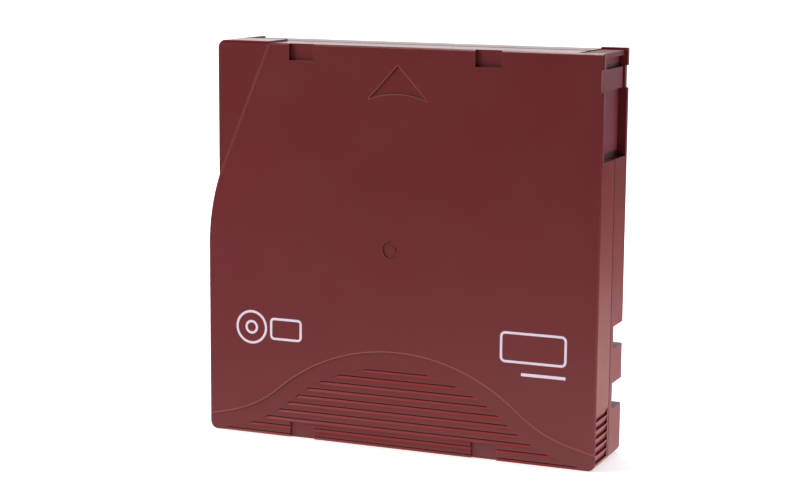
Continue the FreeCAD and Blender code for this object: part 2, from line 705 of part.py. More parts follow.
def upperMoulding():
    body = newBody("upper_moulding")
    pad(casingOutline(newSketch(body, "upper_plan", PARTING), "upper_horn_x", False), "upper_height")
    trimCasing(body, number(TOP), 3)
    pocket(cavityOutline(newSketch(body, "upper_cavity", PARTING)), "(upper_height - plate)", up=True)

    sketch = newSketch(body, "upper_bosses", CEILING)
    for x, y in SCREWS:
        octagon(sketch, x, y, "boss_outer")
    pad(sketch, "(upper_height - plate)", down=True)
    sketch = newSketch(body, "upper_pilots", PARTING)
    for x, y in SCREWS:
        octagon(sketch, x, y, "screw_shank")
    pocket(sketch, f"({SCREW_TIP} - {PARTING} + 0.5)", up=True)

    crossPost(body)
    pinSeat(body, CEILING, True)
    doorRail(body, CEILING, True)
    springSeat(body)

    keeper = newSketch(body, "tab_keeper", CEILING)
    box(keeper, f"({TAB_X} - tab_guard_margin)", "side_wall",
        f"({TAB_LENGTH} + tab_travel + 2 * tab_guard_margin)", "(tab_thick + 2 * tab_gap)")
    pad(keeper, "(upper_height - plate)", down=True)

    window = windowOutline(newSketch(body, "upper_window", PARTING))
    pocket(window, "(upper_height - plate)", up=True)
    sideRimNotch(body, PARTING, "upper_height", False)
    labelRecess(body)
    faceMarks(body)
    sidePockets(body)
    return body


def crossPost(body):
    """Cross-shaped post that keeps the lock disc from turning."""
    length = f"({CEILING} - {BRAKE_TOP} - brake_lift - post_clear)"
    for name, width, height in (("post_x", "post_span", "post_width"), ("post_y", "post_width", "post_span")):
        rib = newSketch(body, name, CEILING)
        box(rib, f"(reel_x - {width} / 2)", f"(reel_y - {height} / 2)", width, height)
        pad(rib, length, down=True)


def springSeat(body):
    """Wall with an open slot that the door's spring pushes against."""
    wall = newSketch(body, "spring_seat", CEILING)
    box(wall, f"({ROD_X} - 2.4)", "seat_y", f"({SIDE_IN} - {ROD_X} + 2.5)", "seat_thick")
    pad(wall, "(upper_height - plate)", down=True)
    slot = newSketch(body, "rod_slot", PARTING)
    box(slot, f"({ROD_X} - rod_radius - rod_clear)", f"(seat_y - {OVER})",
        "(2 * rod_radius + 2 * rod_clear)", f"(seat_thick + 2 * {OVER})")
    pocket(slot, f"(rod_z + rod_radius + rod_clear - {PARTING})", up=True)


def gripGrooves():
    """Ten sawtooth grooves, steep above and sloping out below, inside the bell."""
    rows = newBody("groove_rows")
    face = f"({TOP} - zone_depth)"
    sketch = newSketch(rows, "groove", f"(-{HALF})", "YZ_Plane")
    loop(sketch, [
        ("groove_first_y", f"({face} + {OVER})"), ("groove_first_y", face),
        ("(groove_first_y - groove_undercut)", f"({face} - groove_depth)"),
        ("(groove_first_y - groove_height)", face),
        ("(groove_first_y - groove_height)", f"({face} + {OVER})")])
    first = pad(sketch, "cart_width")
    along(rows, [first], "groove_count", "groove_pitch")

    bell = newBody("groove_field")
    field = newSketch(bell, "grip_field", f"({face} - groove_depth - 0.1)")
    crown, flank, crest, x1, y1, x2, y2 = bellPoints("grip_margin")
    foot = f"({x2} + ({y2} + {OVER}) / tan(foot_angle))"
    loop(field, [
        (f"(-{foot})", f"(-{OVER})"), (f"(-{x2})", y2, flank, -1),
        (f"(-{x1})", y1, crown, 1), ("0", crest, crown, 1), (x1, y1, flank, -1), (x2, y2),
        (foot, f"(-{OVER})")])
    pad(field, f"(groove_depth + {OVER})")

    tool = doc.addObject("Part::Common", "groove_tool")
    tool.Base = rows
    tool.Tool = bell
    return tool


def upperShell():
    shell = doc.addObject("Part::Cut", "upper_shell")
    shell.Base = upperMoulding()
    shell.Tool = gripGrooves()
    return shell


def lowerShell():
    body = newBody("lower_shell")
    height = f"({PARTING} - {BOTTOM})"
    inside = f"({PARTING} - {FLOOR})"
    pad(casingOutline(newSketch(body, "lower_plan", BOTTOM), "lower_horn_x", True), height)
    trimCasing(body, number(BOTTOM), 3)
    pocket(cavityOutline(newSketch(body, "lower_cavity", PARTING)), inside)

    sketch = newSketch(body, "notch_backing", FLOOR)
    backing = "(side_notch_depth + notch_backing)"
    rearY = "(hold_notch_y - notch_backing)"
    rightEnd = "(latch_notch_y + latch_notch_length + notch_backing)"
    leftEnd = "(hold_notch_y + hold_notch_length + notch_backing)"
    box(sketch, f"({HALF} - {backing})", rearY, f"({backing} - side_wall / 2)", f"({rightEnd} - {rearY})")
    box(sketch, f"(side_wall / 2 - {HALF})", rearY, f"({backing} - side_wall / 2)", f"({leftEnd} - {rearY})")
    pad(sketch, f"({TOP} - side_notch_drop + notch_backing - {FLOOR})")
    sketch = newSketch(body, "side_notches", f"({TOP} - side_notch_drop)")
    past = f"(side_notch_depth + {OVER})"
    box(sketch, f"({HALF} - side_notch_depth)", "hold_notch_y", past, "hold_notch_length")
    box(sketch, f"({HALF} - side_notch_depth)", "latch_notch_y", past, "latch_notch_length")
    box(sketch, f"(-{HALF} - {OVER})", "hold_notch_y", past, "hold_notch_length")
    pocket(sketch, f"(cart_thick - side_notch_drop + {OVER})")

    lowerBosses(body, inside)
    guardRibs(body, inside)
    pinSeat(body, FLOOR, False)
    doorRail(body, FLOOR, False)
    hubOpening(body)
    boardPosts(body)
    tabWindow(body)

    window = windowOutline(newSketch(body, "lower_window", PARTING))
    pocket(window, inside)
    sideRimNotch(body, PARTING, height, True)
    labelRecess(body)
    return body


def lowerBosses(body, inside):
    sketch = newSketch(body, "lower_bosses", FLOOR)
    for x, y in SCREWS:
        octagon(sketch, x, y, "boss_outer")
    pad(sketch, inside)
    sketch = newSketch(body, "screw_holes", PARTING)
    for x, y in SCREWS:
        octagon(sketch, x, y, "(screw_shank + screw_clear)")
    pocket(sketch, "cart_thick")
    sketch = newSketch(body, "head_recesses", BOTTOM)
    for x, y in SCREWS:
        circle(sketch, x, y, "(screw_head + screw_clear)")
    pocket(sketch, "screw_sink", up=True)


def hubOpening(body):
    """Round opening for the drive, with three beads that the reel rests on."""
    beads = newSketch(body, "reel_beads", FLOOR)
    for middle in (30, 150, 270):
        sector(beads, "reel_x", "reel_y", "bead_inner", "bead_outer", middle - 25, middle + 25)
    pad(beads, f"({REEL_BASE} - reel_clear - {FLOOR})")
    hole = newSketch(body, "hub_opening", FLOOR)
    circle(hole, "reel_x", "reel_y", "opening_radius")
    pocket(hole, "plate")
    radius = number("opening_radius")
    level = number(BOTTOM)

    def mouth(middle, edge):
        round_ = edge.Curve.TypeId == "Part::GeomCircle" and abs(edge.Curve.Radius - radius) < 1e-3
        return round_ and abs(middle.z - level) < 1e-4

    roundEdges(body, "opening_chamfer", mouth, "Chamfer")


def boardPosts(body):
    """Two posts behind the memory board, in the rear left corner."""
    posts = newSketch(body, "board_posts", FLOOR)
    behind = "((board_thick / 2 + board_clear + board_post) * sqrt(0.5))"
    for side in ("-1", "1"):
        shift = f"({side} * board_length / 3 * sqrt(0.5))"
        octagon(posts, f"(board_x + {behind} + {shift})", f"(board_y + {behind} - {shift})", "board_post")
    pad(posts, "board_post_height")


def tabWindow(body):
    """Window in the rear wall for the write-protect tab, and the wall behind it."""
    guard = newSketch(body, "tab_guard", FLOOR)
    box(guard, f"({TAB_X} - tab_guard_margin)", "(side_wall + 2 * tab_gap + tab_thick)",
        f"({TAB_LENGTH} + tab_travel + 2 * tab_guard_margin)", "tab_guard")
    pad(guard, f"({PARTING} - {FLOOR})")
    window = newSketch(body, "tab_window", "(-side_wall)", "XZ_Plane")
    box(window, "tab_window_x", f"({BOTTOM} + tab_window_low)", "tab_window_width", "tab_window_height")
    pocket(window, f"(side_wall + {OVER})", up=True)


# ---------------------------------------------------------------- door

def accessDoor():
    body = newBody("access_door")
    plan = newSketch(body, "door_plan", f"(-{DOOR_HALF})")
    lipRear = "(door_front_y - door_lip)"
    lipOut = f"({DOOR_OUT} + door_lip_proud)"
    catchOut = f"({DOOR_OUT} + catch_proud)"
    returnX = "(window_x + 0.3)"
    loop(plan, [
        (DOOR_IN, "door_rear_y"), (DOOR_OUT, "door_rear_y"), (DOOR_OUT, "catch_y"),
        (catchOut, "catch_y"), (catchOut, "(catch_y + catch_length)"),
        (DOOR_OUT, "(catch_y + catch_length)"), (DOOR_OUT, lipRear), (lipOut, lipRear),
        (lipOut, "door_front_y"), (returnX, "door_front_y"), (returnX, lipRear), (DOOR_IN, lipRear)])
    pad(plan, f"(2 * {DOOR_HALF})")

    shoulder = newSketch(body, "rod_shoulder", "(rod_z - shoulder_half)")
    inner = f"({ROD_X} - shoulder_side)"
    box(shoulder, inner, "door_rear_y", f"({DOOR_IN} - {inner} + 0.1)", "shoulder_length")
    pad(shoulder, "(2 * shoulder_half)")
    rod = newSketch(body, "spring_rod", "(-door_rear_y - 1)", "XZ_Plane")
    circle(rod, ROD_X, "rod_z", "rod_radius")
    pad(rod, f"(door_rear_y - seat_y + 1.5 + 1)")
    return body


def coil(label, x, y, z, radius, wire, length, turns, upright):
    """Coil spring between two flat seats. Its square wire is made of flat
    facets, because a wire swept along a helix would mesh far too finely."""
    steps = COIL_FACETS * int(number(turns))
    mean = number(radius)
    half = number(wire) / 2
    rise = (number(length) - 2.2 * half) / steps
    rings = []
    for i in range(steps + 1):
        angle = 2 * math.pi * i / COIL_FACETS
        way = V(math.cos(angle), math.sin(angle), 0)
        centre = way * mean + V(0, 0, 1.1 * half + rise * i)
        rings.append([
            centre + way * (half * math.cos(math.pi * k / 2)) + V(0, 0, half * math.sin(math.pi * k / 2))
            for k in range(4)])
    faces = [Part.Face(Part.makePolygon(ring + ring[:1])) for ring in (rings[0], rings[-1])]
    for low, high in zip(rings, rings[1:]):
        for k in range(4):
            after = (k + 1) % 4
            faces.append(Part.Face(Part.makePolygon([low[k], low[after], high[after], low[k]])))
            faces.append(Part.Face(Part.makePolygon([low[k], high[after], high[k], low[k]])))
    shell = Part.makeShell(faces)
    shell.sewShape()
    solid = Part.makeSolid(Part.Shell(shell.Faces))
    if solid.Volume < 0:
        solid.reverse()
    spring = doc.addObject("Part::Feature", label)
    spring.Shape = solid
    spring.Placement = FreeCAD.Placement(V(0, 0, 0), FreeCAD.Rotation() if upright else STAND)
    bind(spring, "Placement.Base.x", x)
    bind(spring, "Placement.Base.y", f"-({z})")
    bind(spring, "Placement.Base.z", y)
    return spring


def doorSpring():
    start = "(seat_y + seat_thick)"
    return coil("door_spring", ROD_X, start, "rod_z", "door_coil_radius", "door_wire",
                f"(door_rear_y - {start})", "door_coil_turns", True)


# ---------------------------------------------------------------- reel

def reelBody(label):
    return newBody(label, "reel_x", "reel_y")


def reelHub():
    """Hub, lower flange and floor, with the drive teeth below and lock blocks above."""
    body = reelBody("reel_hub")
    half = "(reel_gap / 2)"
    section = newSketch(body, "hub_section", "0", "XZ_Plane")
    loop(section, [
        ("pilot_radius", REEL_BASE), ("flange_radius", REEL_BASE), ("flange_radius", f"(-{half})"), ("hub_radius", f"(-{half})"),
        ("hub_radius", half), ("spigot_radius", half), ("spigot_radius", f"({half} + upper_flange)"),
        ("hub_bore", f"({half} + upper_flange)"), ("hub_bore", FLOOR_TOP), ("pilot_radius", FLOOR_TOP)])
    revolve(section)

    blocks = newSketch(body, "lock_blocks", FLOOR_TOP)
    circle(blocks, "0", "0", "lock_inner")
    circle(blocks, "0", "0", "lock_outer")
    pad(blocks, "lock_block")
    tooth = toothSketch(body, "lock_tooth_sketch", "lock_inner", LOCK_BASE, "lock_root", "lock_tip",
                        "lock_tooth", 1)
    ring = pad(tooth, "(lock_outer - lock_inner)", down=True)
    around(body, [ring], "lock_count")
    gaps = newSketch(body, "arm_gap", FLOOR_TOP)
    sector(gaps, "0", "0", "(lock_inner - 0.5)", "(lock_outer + 0.2)", "(90 - arm_sector)", "(90 + arm_sector)")
    gap = pocket(gaps, "(lock_block + lock_tooth + 0.1)", up=True)
    around(body, [gap], "3")

    drive = toothSketch(body, "drive_tooth_sketch", "drive_inner", REEL_BASE,
                        "drive_root", "drive_tip", "drive_tooth", -1)
    ring = pad(drive, "(drive_outer - drive_inner)", down=True)
    around(body, [ring], "tooth_count")
    holes = newSketch(body, "leg_hole", FLOOR_TOP)
    box(holes, "(-leg_width / 2 - leg_clear)", "(leg_inner - leg_clear)",
        "(leg_width + 2 * leg_clear)", "(leg_outer - leg_inner + 2 * leg_clear)")
    hole = pocket(holes, "(hub_floor + drive_tooth + 0.5)")
    around(body, [hole], "3")
    return body


def toothSketch(body, name, inner, level, root, tip, height, way, turn="0"):
    """Trapezium of one tooth, on a plane square to the radius, turned from +y."""
    sketch = newSketch(body, name, f"(-{inner} * cos({turn}))", "XZ_Plane")
    sketch.AttachmentOffset = FreeCAD.Placement(V(0, 0, 0), FreeCAD.Rotation(V(0, 1, 0), 1))
    bind(sketch, "AttachmentOffset.Base.x", f"(-{inner} * sin({turn}))")
    bind(sketch, "AttachmentOffset.Rotation.Angle", turn)
    return loop(sketch, [
        (f"(-{root} / 2)", level), (f"({root} / 2)", level),
        (f"({tip} / 2)", f"({level} + {way} * {height})"),
        (f"(-{tip} / 2)", f"({level} + {way} * {height})")])


def reelTopFlange():
    body = reelBody("reel_top_flange")
    plan = newSketch(body, "top_flange", "(reel_gap / 2)")
    circle(plan, "0", "0", "flange_radius")
    circle(plan, "0", "0", "(spigot_radius + weld_gap)")
    pad(plan, "upper_flange")
    return body


def tapePack():
    body = reelBody("tape_pack")
    plan = newSketch(body, "pack_plan", "(-tape_width / 2)")
    circle(plan, "0", "0", "pack_radius")
    circle(plan, "0", "0", "(hub_radius + pack_gap)")
    pad(plan, "tape_width")
    return body


def clutchPlate():
    body = reelBody("clutch_plate")
    plan = newSketch(body, "clutch_plan", REEL_BASE)
    circle(plan, "0", "0", "clutch_outer")
    circle(plan, "0", "0", "clutch_inner")
    pad(plan, "clutch_thick", down=True)
    return body


def brakeDisc():
    """Lock disc: ring of teeth below, slotted boss above, small dome on the pad."""
    body = reelBody("brake_disc")
    disc = newSketch(body, "brake_plan", BRAKE_BASE)
    circle(disc, "0", "0", "brake_radius")
    pad(disc, "brake_thick")
    tooth = toothSketch(body, "brake_tooth_sketch", "lock_inner", BRAKE_BASE, "lock_root", "lock_tip",
                        "lock_tooth", -1, "(180 / lock_count)")
    ring = pad(tooth, "(lock_outer - lock_inner)", down=True)
    around(body, [ring], "lock_count")
    dome = newSketch(body, "brake_dome", BRAKE_BASE)
    circle(dome, "0", "0", "3")
    pad(dome, f"({BRAKE_BASE} - {PAD_TOP} - pad_clear)", down=True)
    boss = newSketch(body, "brake_boss", BRAKE_TOP)
    circle(boss, "0", "0", "boss_radius")
    pad(boss, "boss_height")
    for name, width, height in (("slot_x", "post_span", "post_width"), ("slot_y", "post_width", "post_span")):
        slot = newSketch(body, name, f"({BRAKE_TOP} + boss_height)")
        box(slot, f"(-{width} / 2 - post_clear)", f"(-{height} / 2 - post_clear)",
            f"({width} + 2 * post_clear)", f"({height} + 2 * post_clear)")
        pocket(slot, "boss_height")
    return body


def brakeSpring():
    return coil("brake_spring", "reel_x", "reel_y", BRAKE_TOP, "brake_coil_radius", "brake_wire",
                f"({CEILING} - {BRAKE_TOP})", "brake_coil_turns", False)


def releasePad():
    """Three arms with legs that reach through the hub floor to the drive teeth."""
    body = reelBody("release_pad")
    plan = newSketch(body, "pad_core", PAD_BASE)
    circle(plan, "0", "0", "(pad_arm + 1)")
    pad(plan, "pad_thick")
    arm = newSketch(body, "pad_arm_plan", PAD_BASE)
    box(arm, "(-pad_arm / 2)", "0", "pad_arm", "leg_outer")
    first = pad(arm, "pad_thick")
    around(body, [first], "3")
    leg = newSketch(body, "pad_leg_plan", PAD_BASE)
    box(leg, "(-leg_width / 2)", "leg_inner", "leg_width", "(leg_outer - leg_inner)")
    tip = f"({REEL_BASE} - drive_tooth + leg_stop)"
    first = pad(leg, f"({PAD_BASE} - {tip})", down=True)
    around(body, [first], "3")
    return body


# ---------------------------------------------------------------- leader

def leaderPin():
    body = newBody("leader_pin", "pin_x", "pin_y")
    end = f"({CEILING} - pin_end_gap)"
    section = newSketch(body, "pin_section", "0", "XZ_Plane")
    shelf = f"({end} - pin_flange_thick)"
    loop(section, [
        ("0", f"(-{end})"), ("pin_flange", f"(-{end})"), ("pin_flange", f"(-{shelf})"),
        ("pin_radius", f"(-{shelf})"), ("pin_radius", shelf), ("pin_flange", shelf),
        ("pin_flange", end), ("0", end)])
    revolve(section)
    return body


# direction from the reel's axis to the point where the free tape leaves the pack
PIN_DX = "(pin_x - reel_x)"
PIN_DY = "(pin_y - reel_y)"
PIN_FAR = f"sqrt({PIN_DX} ^ 2 + {PIN_DY} ^ 2)"
LEAVE = f"(atan2({PIN_DY}; {PIN_DX}) - acos(pack_radius / {PIN_FAR}))"
CLIP_OUT = "(pin_radius + clip_gap + clip_wall)"


def leaderTape():
    """Free strip from the wound tape to the clip, tangent to the pack."""
    body = newBody("leader_tape")
    run = f"(sqrt({PIN_FAR} ^ 2 - pack_radius ^ 2) - {CLIP_OUT} - leader_gap)"

    def at(outward, forward):
        x = f"(reel_x + (pack_radius + {outward}) * cos({LEAVE}) - {forward} * sin({LEAVE}))"
        y = f"(reel_y + (pack_radius + {outward}) * sin({LEAVE}) + {forward} * cos({LEAVE}))"
        return (x, y)

    strip = newSketch(body, "strip_plan", "(-tape_width / 2)")
    outer = "(leader_gap + leader_thick)"
    loop(strip, [at("leader_gap", "0"), at(outer, "0"), at(outer, run), at("leader_gap", run)])
    pad(strip, "tape_width")
    return body


def leaderClip():
    body = newBody("leader_clip", "pin_x", "pin_y")
    plan = newSketch(body, "clip_plan", "(-tape_width / 2)")
    circle(plan, "0", "0", CLIP_OUT)
    circle(plan, "0", "0", "(pin_radius + clip_gap)")
    pad(plan, "tape_width")
    mouth = newSketch(body, "clip_mouth_plan", "(-tape_width / 2)")
    box(mouth, "0", "(-clip_mouth / 2)", f"({CLIP_OUT} + {OVER})", "clip_mouth")
    pocket(mouth, "tape_width", up=True)
    return body


def pinSprings():
    """Two U-shaped wires of square section, one round each flange of the pin."""
    inner = "(pin_flange + pin_spring_gap)"
    outer = f"({inner} + pin_spring_wire)"
    middle = f"({CEILING} - pin_end_gap - pin_flange_thick / 2)"
    wires = []
    for name, level in (("pin_spring_low", f"(-{middle})"), ("pin_spring_high", middle)):
        wire = newBody(name, "pin_x", "pin_y")
        plan = newSketch(wire, name + "_plan", f"({level} - pin_spring_wire / 2)")
        loop(plan, [
            ("seat_leg", outer), ("0", outer, outer, -1), (f"(-{outer})", "0", outer, -1),
            ("0", f"(-{outer})"), ("seat_leg", f"(-{outer})"), ("seat_leg", f"(-{inner})"),
            ("0", f"(-{inner})", inner, 1), (f"(-{inner})", "0", inner, 1),
            ("0", inner), ("seat_leg", inner)])
        pad(plan, "pin_spring_wire")
        wires.append(wire)
    pair = doc.addObject("Part::Compound", "pin_springs")
    pair.Links = wires
    return pair


# ---------------------------------------------------------------- small parts

def writeTab():
    body = newBody("write_tab")
    plateBase = f"({FLOOR} + tab_gap)"
    plate = newSketch(body, "tab_plate", plateBase)
    box(plate, TAB_X, "(side_wall + tab_gap)", TAB_LENGTH, "tab_thick")
    pad(plate, f"({PARTING} - tab_gap - {plateBase})")
    nub = newSketch(body, "tab_nub", f"({BOTTOM} + tab_window_low + tab_nub_gap)")
    box(nub, NUB_X, "tab_nub_set_back", "tab_nub_width", "(side_wall + tab_gap - tab_nub_set_back + 0.1)")
    pad(nub, "(tab_window_height - 2 * tab_nub_gap)")
    return body


def boardBody(label):
    return newBody(label, "board_x", "board_y", f"({FLOOR} + board_clear)", BOARD_TURN)


def memoryBoard():
    body = boardBody("memory_board")
    face = newSketch(body, "board_face", "(-board_thick / 2)", "XZ_Plane")
    box(face, "(-board_length / 2)", "0", "board_length", "board_height")
    pad(face, "board_thick")
    return body


def memoryAntenna():
    """Flat coil on the board's face towards the corner."""
    body = boardBody("memory_antenna")
    band = newSketch(body, "antenna_band", "(board_thick / 2)", "XZ_Plane")
    outer = "antenna_margin"
    inner = "(antenna_margin + antenna_width)"
    for edge in (outer, inner):
        box(band, f"({edge} - board_length / 2)", edge, f"(board_length - 2 * {edge})",
            f"(board_height - 2 * {edge})")
    pad(band, "antenna_thick")
    return body


def memoryChip():
    body = boardBody("memory_chip")
    face = newSketch(body, "chip_face", "(board_thick / 2)", "XZ_Plane")
    box(face, "(-chip_side / 2)", "(board_height / 2 - chip_side / 2)", "chip_side", "chip_side")
    pad(face, "chip_thick")
    return body


SCREW_SEAT = f"({BOTTOM} + screw_sink)"
SCREW_TIP = f"({SCREW_SEAT} + screw_length)"


def caseScrew(index, x, y):
    """One screw, head down in the lower shell, with a cross drive."""
    body = newBody(f"case_screw_{index}", x, y)
    head = newSketch(body, "screw_head_plan", SCREW_SEAT)
    circle(head, "0", "0", "screw_head")
    pad(head, "screw_head_height", down=True)
    shank = newSketch(body, "shank_plan", SCREW_SEAT)
    octagon(shank, "0", "0", "(screw_shank - thread_clear)")
    pad(shank, "screw_length")
    for width, height in (("driver_span", "driver_width"), ("driver_width", "driver_span")):
        drive = newSketch(body, "driver_slot", f"({SCREW_SEAT} - screw_head_height)")
        box(drive, f"(-{width} / 2)", f"(-{height} / 2)", width, height)
        pocket(drive, "driver_depth", up=True)
    return body


def caseScrews():
    group = doc.addObject("Part::Compound", "case_screws")
    group.Links = [caseScrew(i, x, y) for i, (x, y) in enumerate(SCREWS, start=1)]
    return group


def main():
    fillSheet()
    pieces = [
        upperShell(), lowerShell(), accessDoor(), doorSpring(), reelHub(), reelTopFlange(),
        clutchPlate(), tapePack(), brakeDisc(), brakeSpring(), releasePad(), leaderPin(),
        leaderClip(), leaderTape(), pinSprings(), writeTab(), memoryBoard(), memoryAntenna(),
        memoryChip(), caseScrews()]
    doc.recompute()
    faults = [f"{o.Name} {o.State}" for o in doc.Objects if {"Invalid", "Error"} & set(o.State)]
    faults += [p.Label for p in pieces if p.Shape.isNull() or not p.Shape.isValid()]
    if faults:
        raise RuntimeError("not built: " + ", ".join(faults))
    os.makedirs("parts", exist_ok=True)
    for piece in pieces:
        piece.Shape.exportStep(os.path.join("parts", piece.Label + ".step"))
        print(f"{piece.Label:18s} solids {len(piece.Shape.Solids)}  volume {piece.Shape.Volume:10.2f} mm3")


main()
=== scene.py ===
import bmesh
import bpy
import json
import math
from mathutils import Matrix, Vector


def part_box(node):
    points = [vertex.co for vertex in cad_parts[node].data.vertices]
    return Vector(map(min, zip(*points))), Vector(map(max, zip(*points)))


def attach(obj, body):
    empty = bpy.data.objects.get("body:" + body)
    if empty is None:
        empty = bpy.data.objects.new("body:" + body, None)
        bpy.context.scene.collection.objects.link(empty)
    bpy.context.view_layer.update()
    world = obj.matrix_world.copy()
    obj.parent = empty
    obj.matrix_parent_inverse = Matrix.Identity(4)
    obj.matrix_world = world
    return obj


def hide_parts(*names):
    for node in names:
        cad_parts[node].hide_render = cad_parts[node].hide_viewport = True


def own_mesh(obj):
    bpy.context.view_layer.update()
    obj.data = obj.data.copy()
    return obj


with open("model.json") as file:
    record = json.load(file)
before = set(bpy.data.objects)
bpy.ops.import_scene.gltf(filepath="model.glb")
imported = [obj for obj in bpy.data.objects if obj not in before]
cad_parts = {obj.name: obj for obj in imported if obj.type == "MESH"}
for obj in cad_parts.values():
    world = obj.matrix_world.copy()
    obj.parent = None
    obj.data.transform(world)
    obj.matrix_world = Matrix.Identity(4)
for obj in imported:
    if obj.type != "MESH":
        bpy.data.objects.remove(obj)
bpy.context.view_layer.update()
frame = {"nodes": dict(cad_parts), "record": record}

mm = 0.001
nodes = frame["nodes"]
bodyOfNode = {node: body for body, names in frame["record"]["behaviour"]["bodies"].items() for node in names}


# shader nodes: short names for the ones used often

def addNode(tree, kind, sockets=None, **options):
    node = tree.nodes.new(kind)
    for name, value in options.items():
        setattr(node, name, value)
    for name, value in (sockets or {}).items():
        node.inputs[name].default_value = value
    return node


def newMaterial(name):
    material = bpy.data.materials.new(name)
    material.use_nodes = True
    tree = material.node_tree
    return material, tree, tree.nodes["Principled BSDF"]


def feed(tree, socket, value):
    # value: the output of another node, a number or a colour
    if isinstance(value, bpy.types.NodeSocket):
        tree.links.new(value, socket)
    elif isinstance(value, (int, float)):
        socket.default_value = value
    else:
        socket.default_value = (*value, 1)


def calc(tree, operation, result, *values, clamp=False):
    # one Math node for each value after the first
    for value in values:
        node = addNode(tree, "ShaderNodeMath", operation=operation, use_clamp=clamp)
        feed(tree, node.inputs[0], result)
        feed(tree, node.inputs[1], value)
        result = node.outputs[0]
    return result


def plus(tree, *values):
    return calc(tree, "ADD", *values)


def minus(tree, first, second):
    return calc(tree, "SUBTRACT", first, second)


def times(tree, *values):
    return calc(tree, "MULTIPLY", *values)


def largest(tree, *values):
    return calc(tree, "MAXIMUM", *values)


def isOver(tree, value, limit):
    return calc(tree, "GREATER_THAN", value, limit)


def isUnder(tree, value, limit):
    return calc(tree, "LESS_THAN", value, limit)


def away(tree, value, middle):
    # how far the value lies from the middle, on either side
    return calc(tree, "ABSOLUTE", minus(tree, value, middle), 0.0)


def mixColour(tree, factor, first, second, blend="MIX"):
    node = addNode(tree, "ShaderNodeMix", data_type="RGBA", blend_type=blend)
    for number, value in ((0, factor), (6, first), (7, second)):
        feed(tree, node.inputs[number], value)
    return node.outputs[2]


def mixValue(tree, factor, first, second):
    node = addNode(tree, "ShaderNodeMix", data_type="FLOAT")
    for number, value in ((0, factor), (2, first), (3, second)):
        feed(tree, node.inputs[number], value)
    return node.outputs[0]


def objectPlace(tree, scale=(1, 1, 1), shift=(0, 0, 0)):
    # object coordinates, stretched and then shifted
    coords = addNode(tree, "ShaderNodeTexCoord")
    place = addNode(tree, "ShaderNodeMapping", {"Scale": scale, "Location": shift})
    tree.links.new(coords.outputs["Object"], place.inputs["Vector"])
    return place.outputs["Vector"]


def inMillimetres(tree):
    split = addNode(tree, "ShaderNodeSeparateXYZ")
    tree.links.new(objectPlace(tree, (1 / mm,) * 3), split.inputs[0])
    return split.outputs


def lengthOf(tree, vector):
    node = addNode(tree, "ShaderNodeVectorMath", operation="LENGTH")
    tree.links.new(vector, node.inputs[0])
    return node.outputs["Value"]


def distanceFrom(tree, point, flatten):
    # distance in metres, with the axis that flatten has as 0 left out
    return lengthOf(tree, objectPlace(tree, flatten, tuple(-value for value in point)))


def spread(tree, first, second):
    # length of the two values taken at right angles
    pair = addNode(tree, "ShaderNodeCombineXYZ")
    tree.links.new(first, pair.inputs[0])
    tree.links.new(second, pair.inputs[1])
    return lengthOf(tree, pair.outputs[0])


def noise(tree, vector, scale, detail, rough):
    node = addNode(tree, "ShaderNodeTexNoise", {"Scale": scale, "Detail": detail, "Roughness": rough})
    tree.links.new(vector, node.inputs["Vector"])
    return node.outputs["Fac"]


def ramp(tree, value, stops):
    # stops: (position, grey)
    node = addNode(tree, "ShaderNodeValToRGB")
    elements = node.color_ramp.elements
    while len(elements) < len(stops):
        elements.new(0.5)
    for element, (position, grey) in zip(elements, stops):
        element.position = position
        element.color = (grey, grey, grey, 1)
    tree.links.new(value, node.inputs["Fac"])
    return node.outputs["Color"]


def stroke(tree, distance, halfWidth, blur=0.04):
    # 1 where the distance is under half the line's width
    node = addNode(tree, "ShaderNodeMapRange", {"From Min": halfWidth - blur, "From Max": halfWidth + blur,
                                                "To Min": 1.0, "To Max": 0.0})
    tree.links.new(distance, node.inputs["Value"])
    return node.outputs["Result"]


def bump(tree, shader, height, strength, distance):
    node = addNode(tree, "ShaderNodeBump", {"Strength": strength, "Distance": distance})
    tree.links.new(height, node.inputs["Height"])
    tree.links.new(node.outputs["Normal"], shader.inputs["Normal"])


# printed marks on the arrow face: rings, round-cornered frames and a bar, in mm

printed = {
    "face": -10.65, "line": 0.31, "colour": (0.70, 0.57, 0.68),
    "rings": [(-40.4, 28.2, 4.1), (-40.4, 28.2, 1.5)],  # middle x, middle z, radius
    "frames": [(-30.6, 28.2, 4.2, 2.6, 0.9), (36.4, 29.2, 8.3, 3.6, 1.1)],  # middle, half sizes, corner
    "bars": [(39.1, 22.6, 5.7, 0.38)],  # middle, half sizes
}


def frameDistance(tree, x, z, middleX, middleZ, halfX, halfZ, corner):
    # distance to the outline of a rectangle with round corners
    overX = minus(tree, away(tree, x, middleX), halfX - corner)
    overZ = minus(tree, away(tree, z, middleZ), halfZ - corner)
    outside = spread(tree, largest(tree, overX, 0.0), largest(tree, overZ, 0.0))
    inside = calc(tree, "MINIMUM", largest(tree, overX, overZ), 0.0)
    return away(tree, plus(tree, outside, inside), corner)


def printMask(tree, x, z):
    half = printed["line"]
    masks = []
    for middleX, middleZ, radius in printed["rings"]:
        reach = spread(tree, minus(tree, x, middleX), minus(tree, z, middleZ))
        masks.append(stroke(tree, away(tree, reach, radius), half))
    for values in printed["frames"]:
        masks.append(stroke(tree, frameDistance(tree, x, z, *values), half))
    for middleX, middleZ, halfX, halfZ in printed["bars"]:
        across, up = away(tree, x, middleX), away(tree, z, middleZ)
        masks.append(times(tree, stroke(tree, across, halfX), stroke(tree, up, halfZ)))
    return largest(tree, *masks)
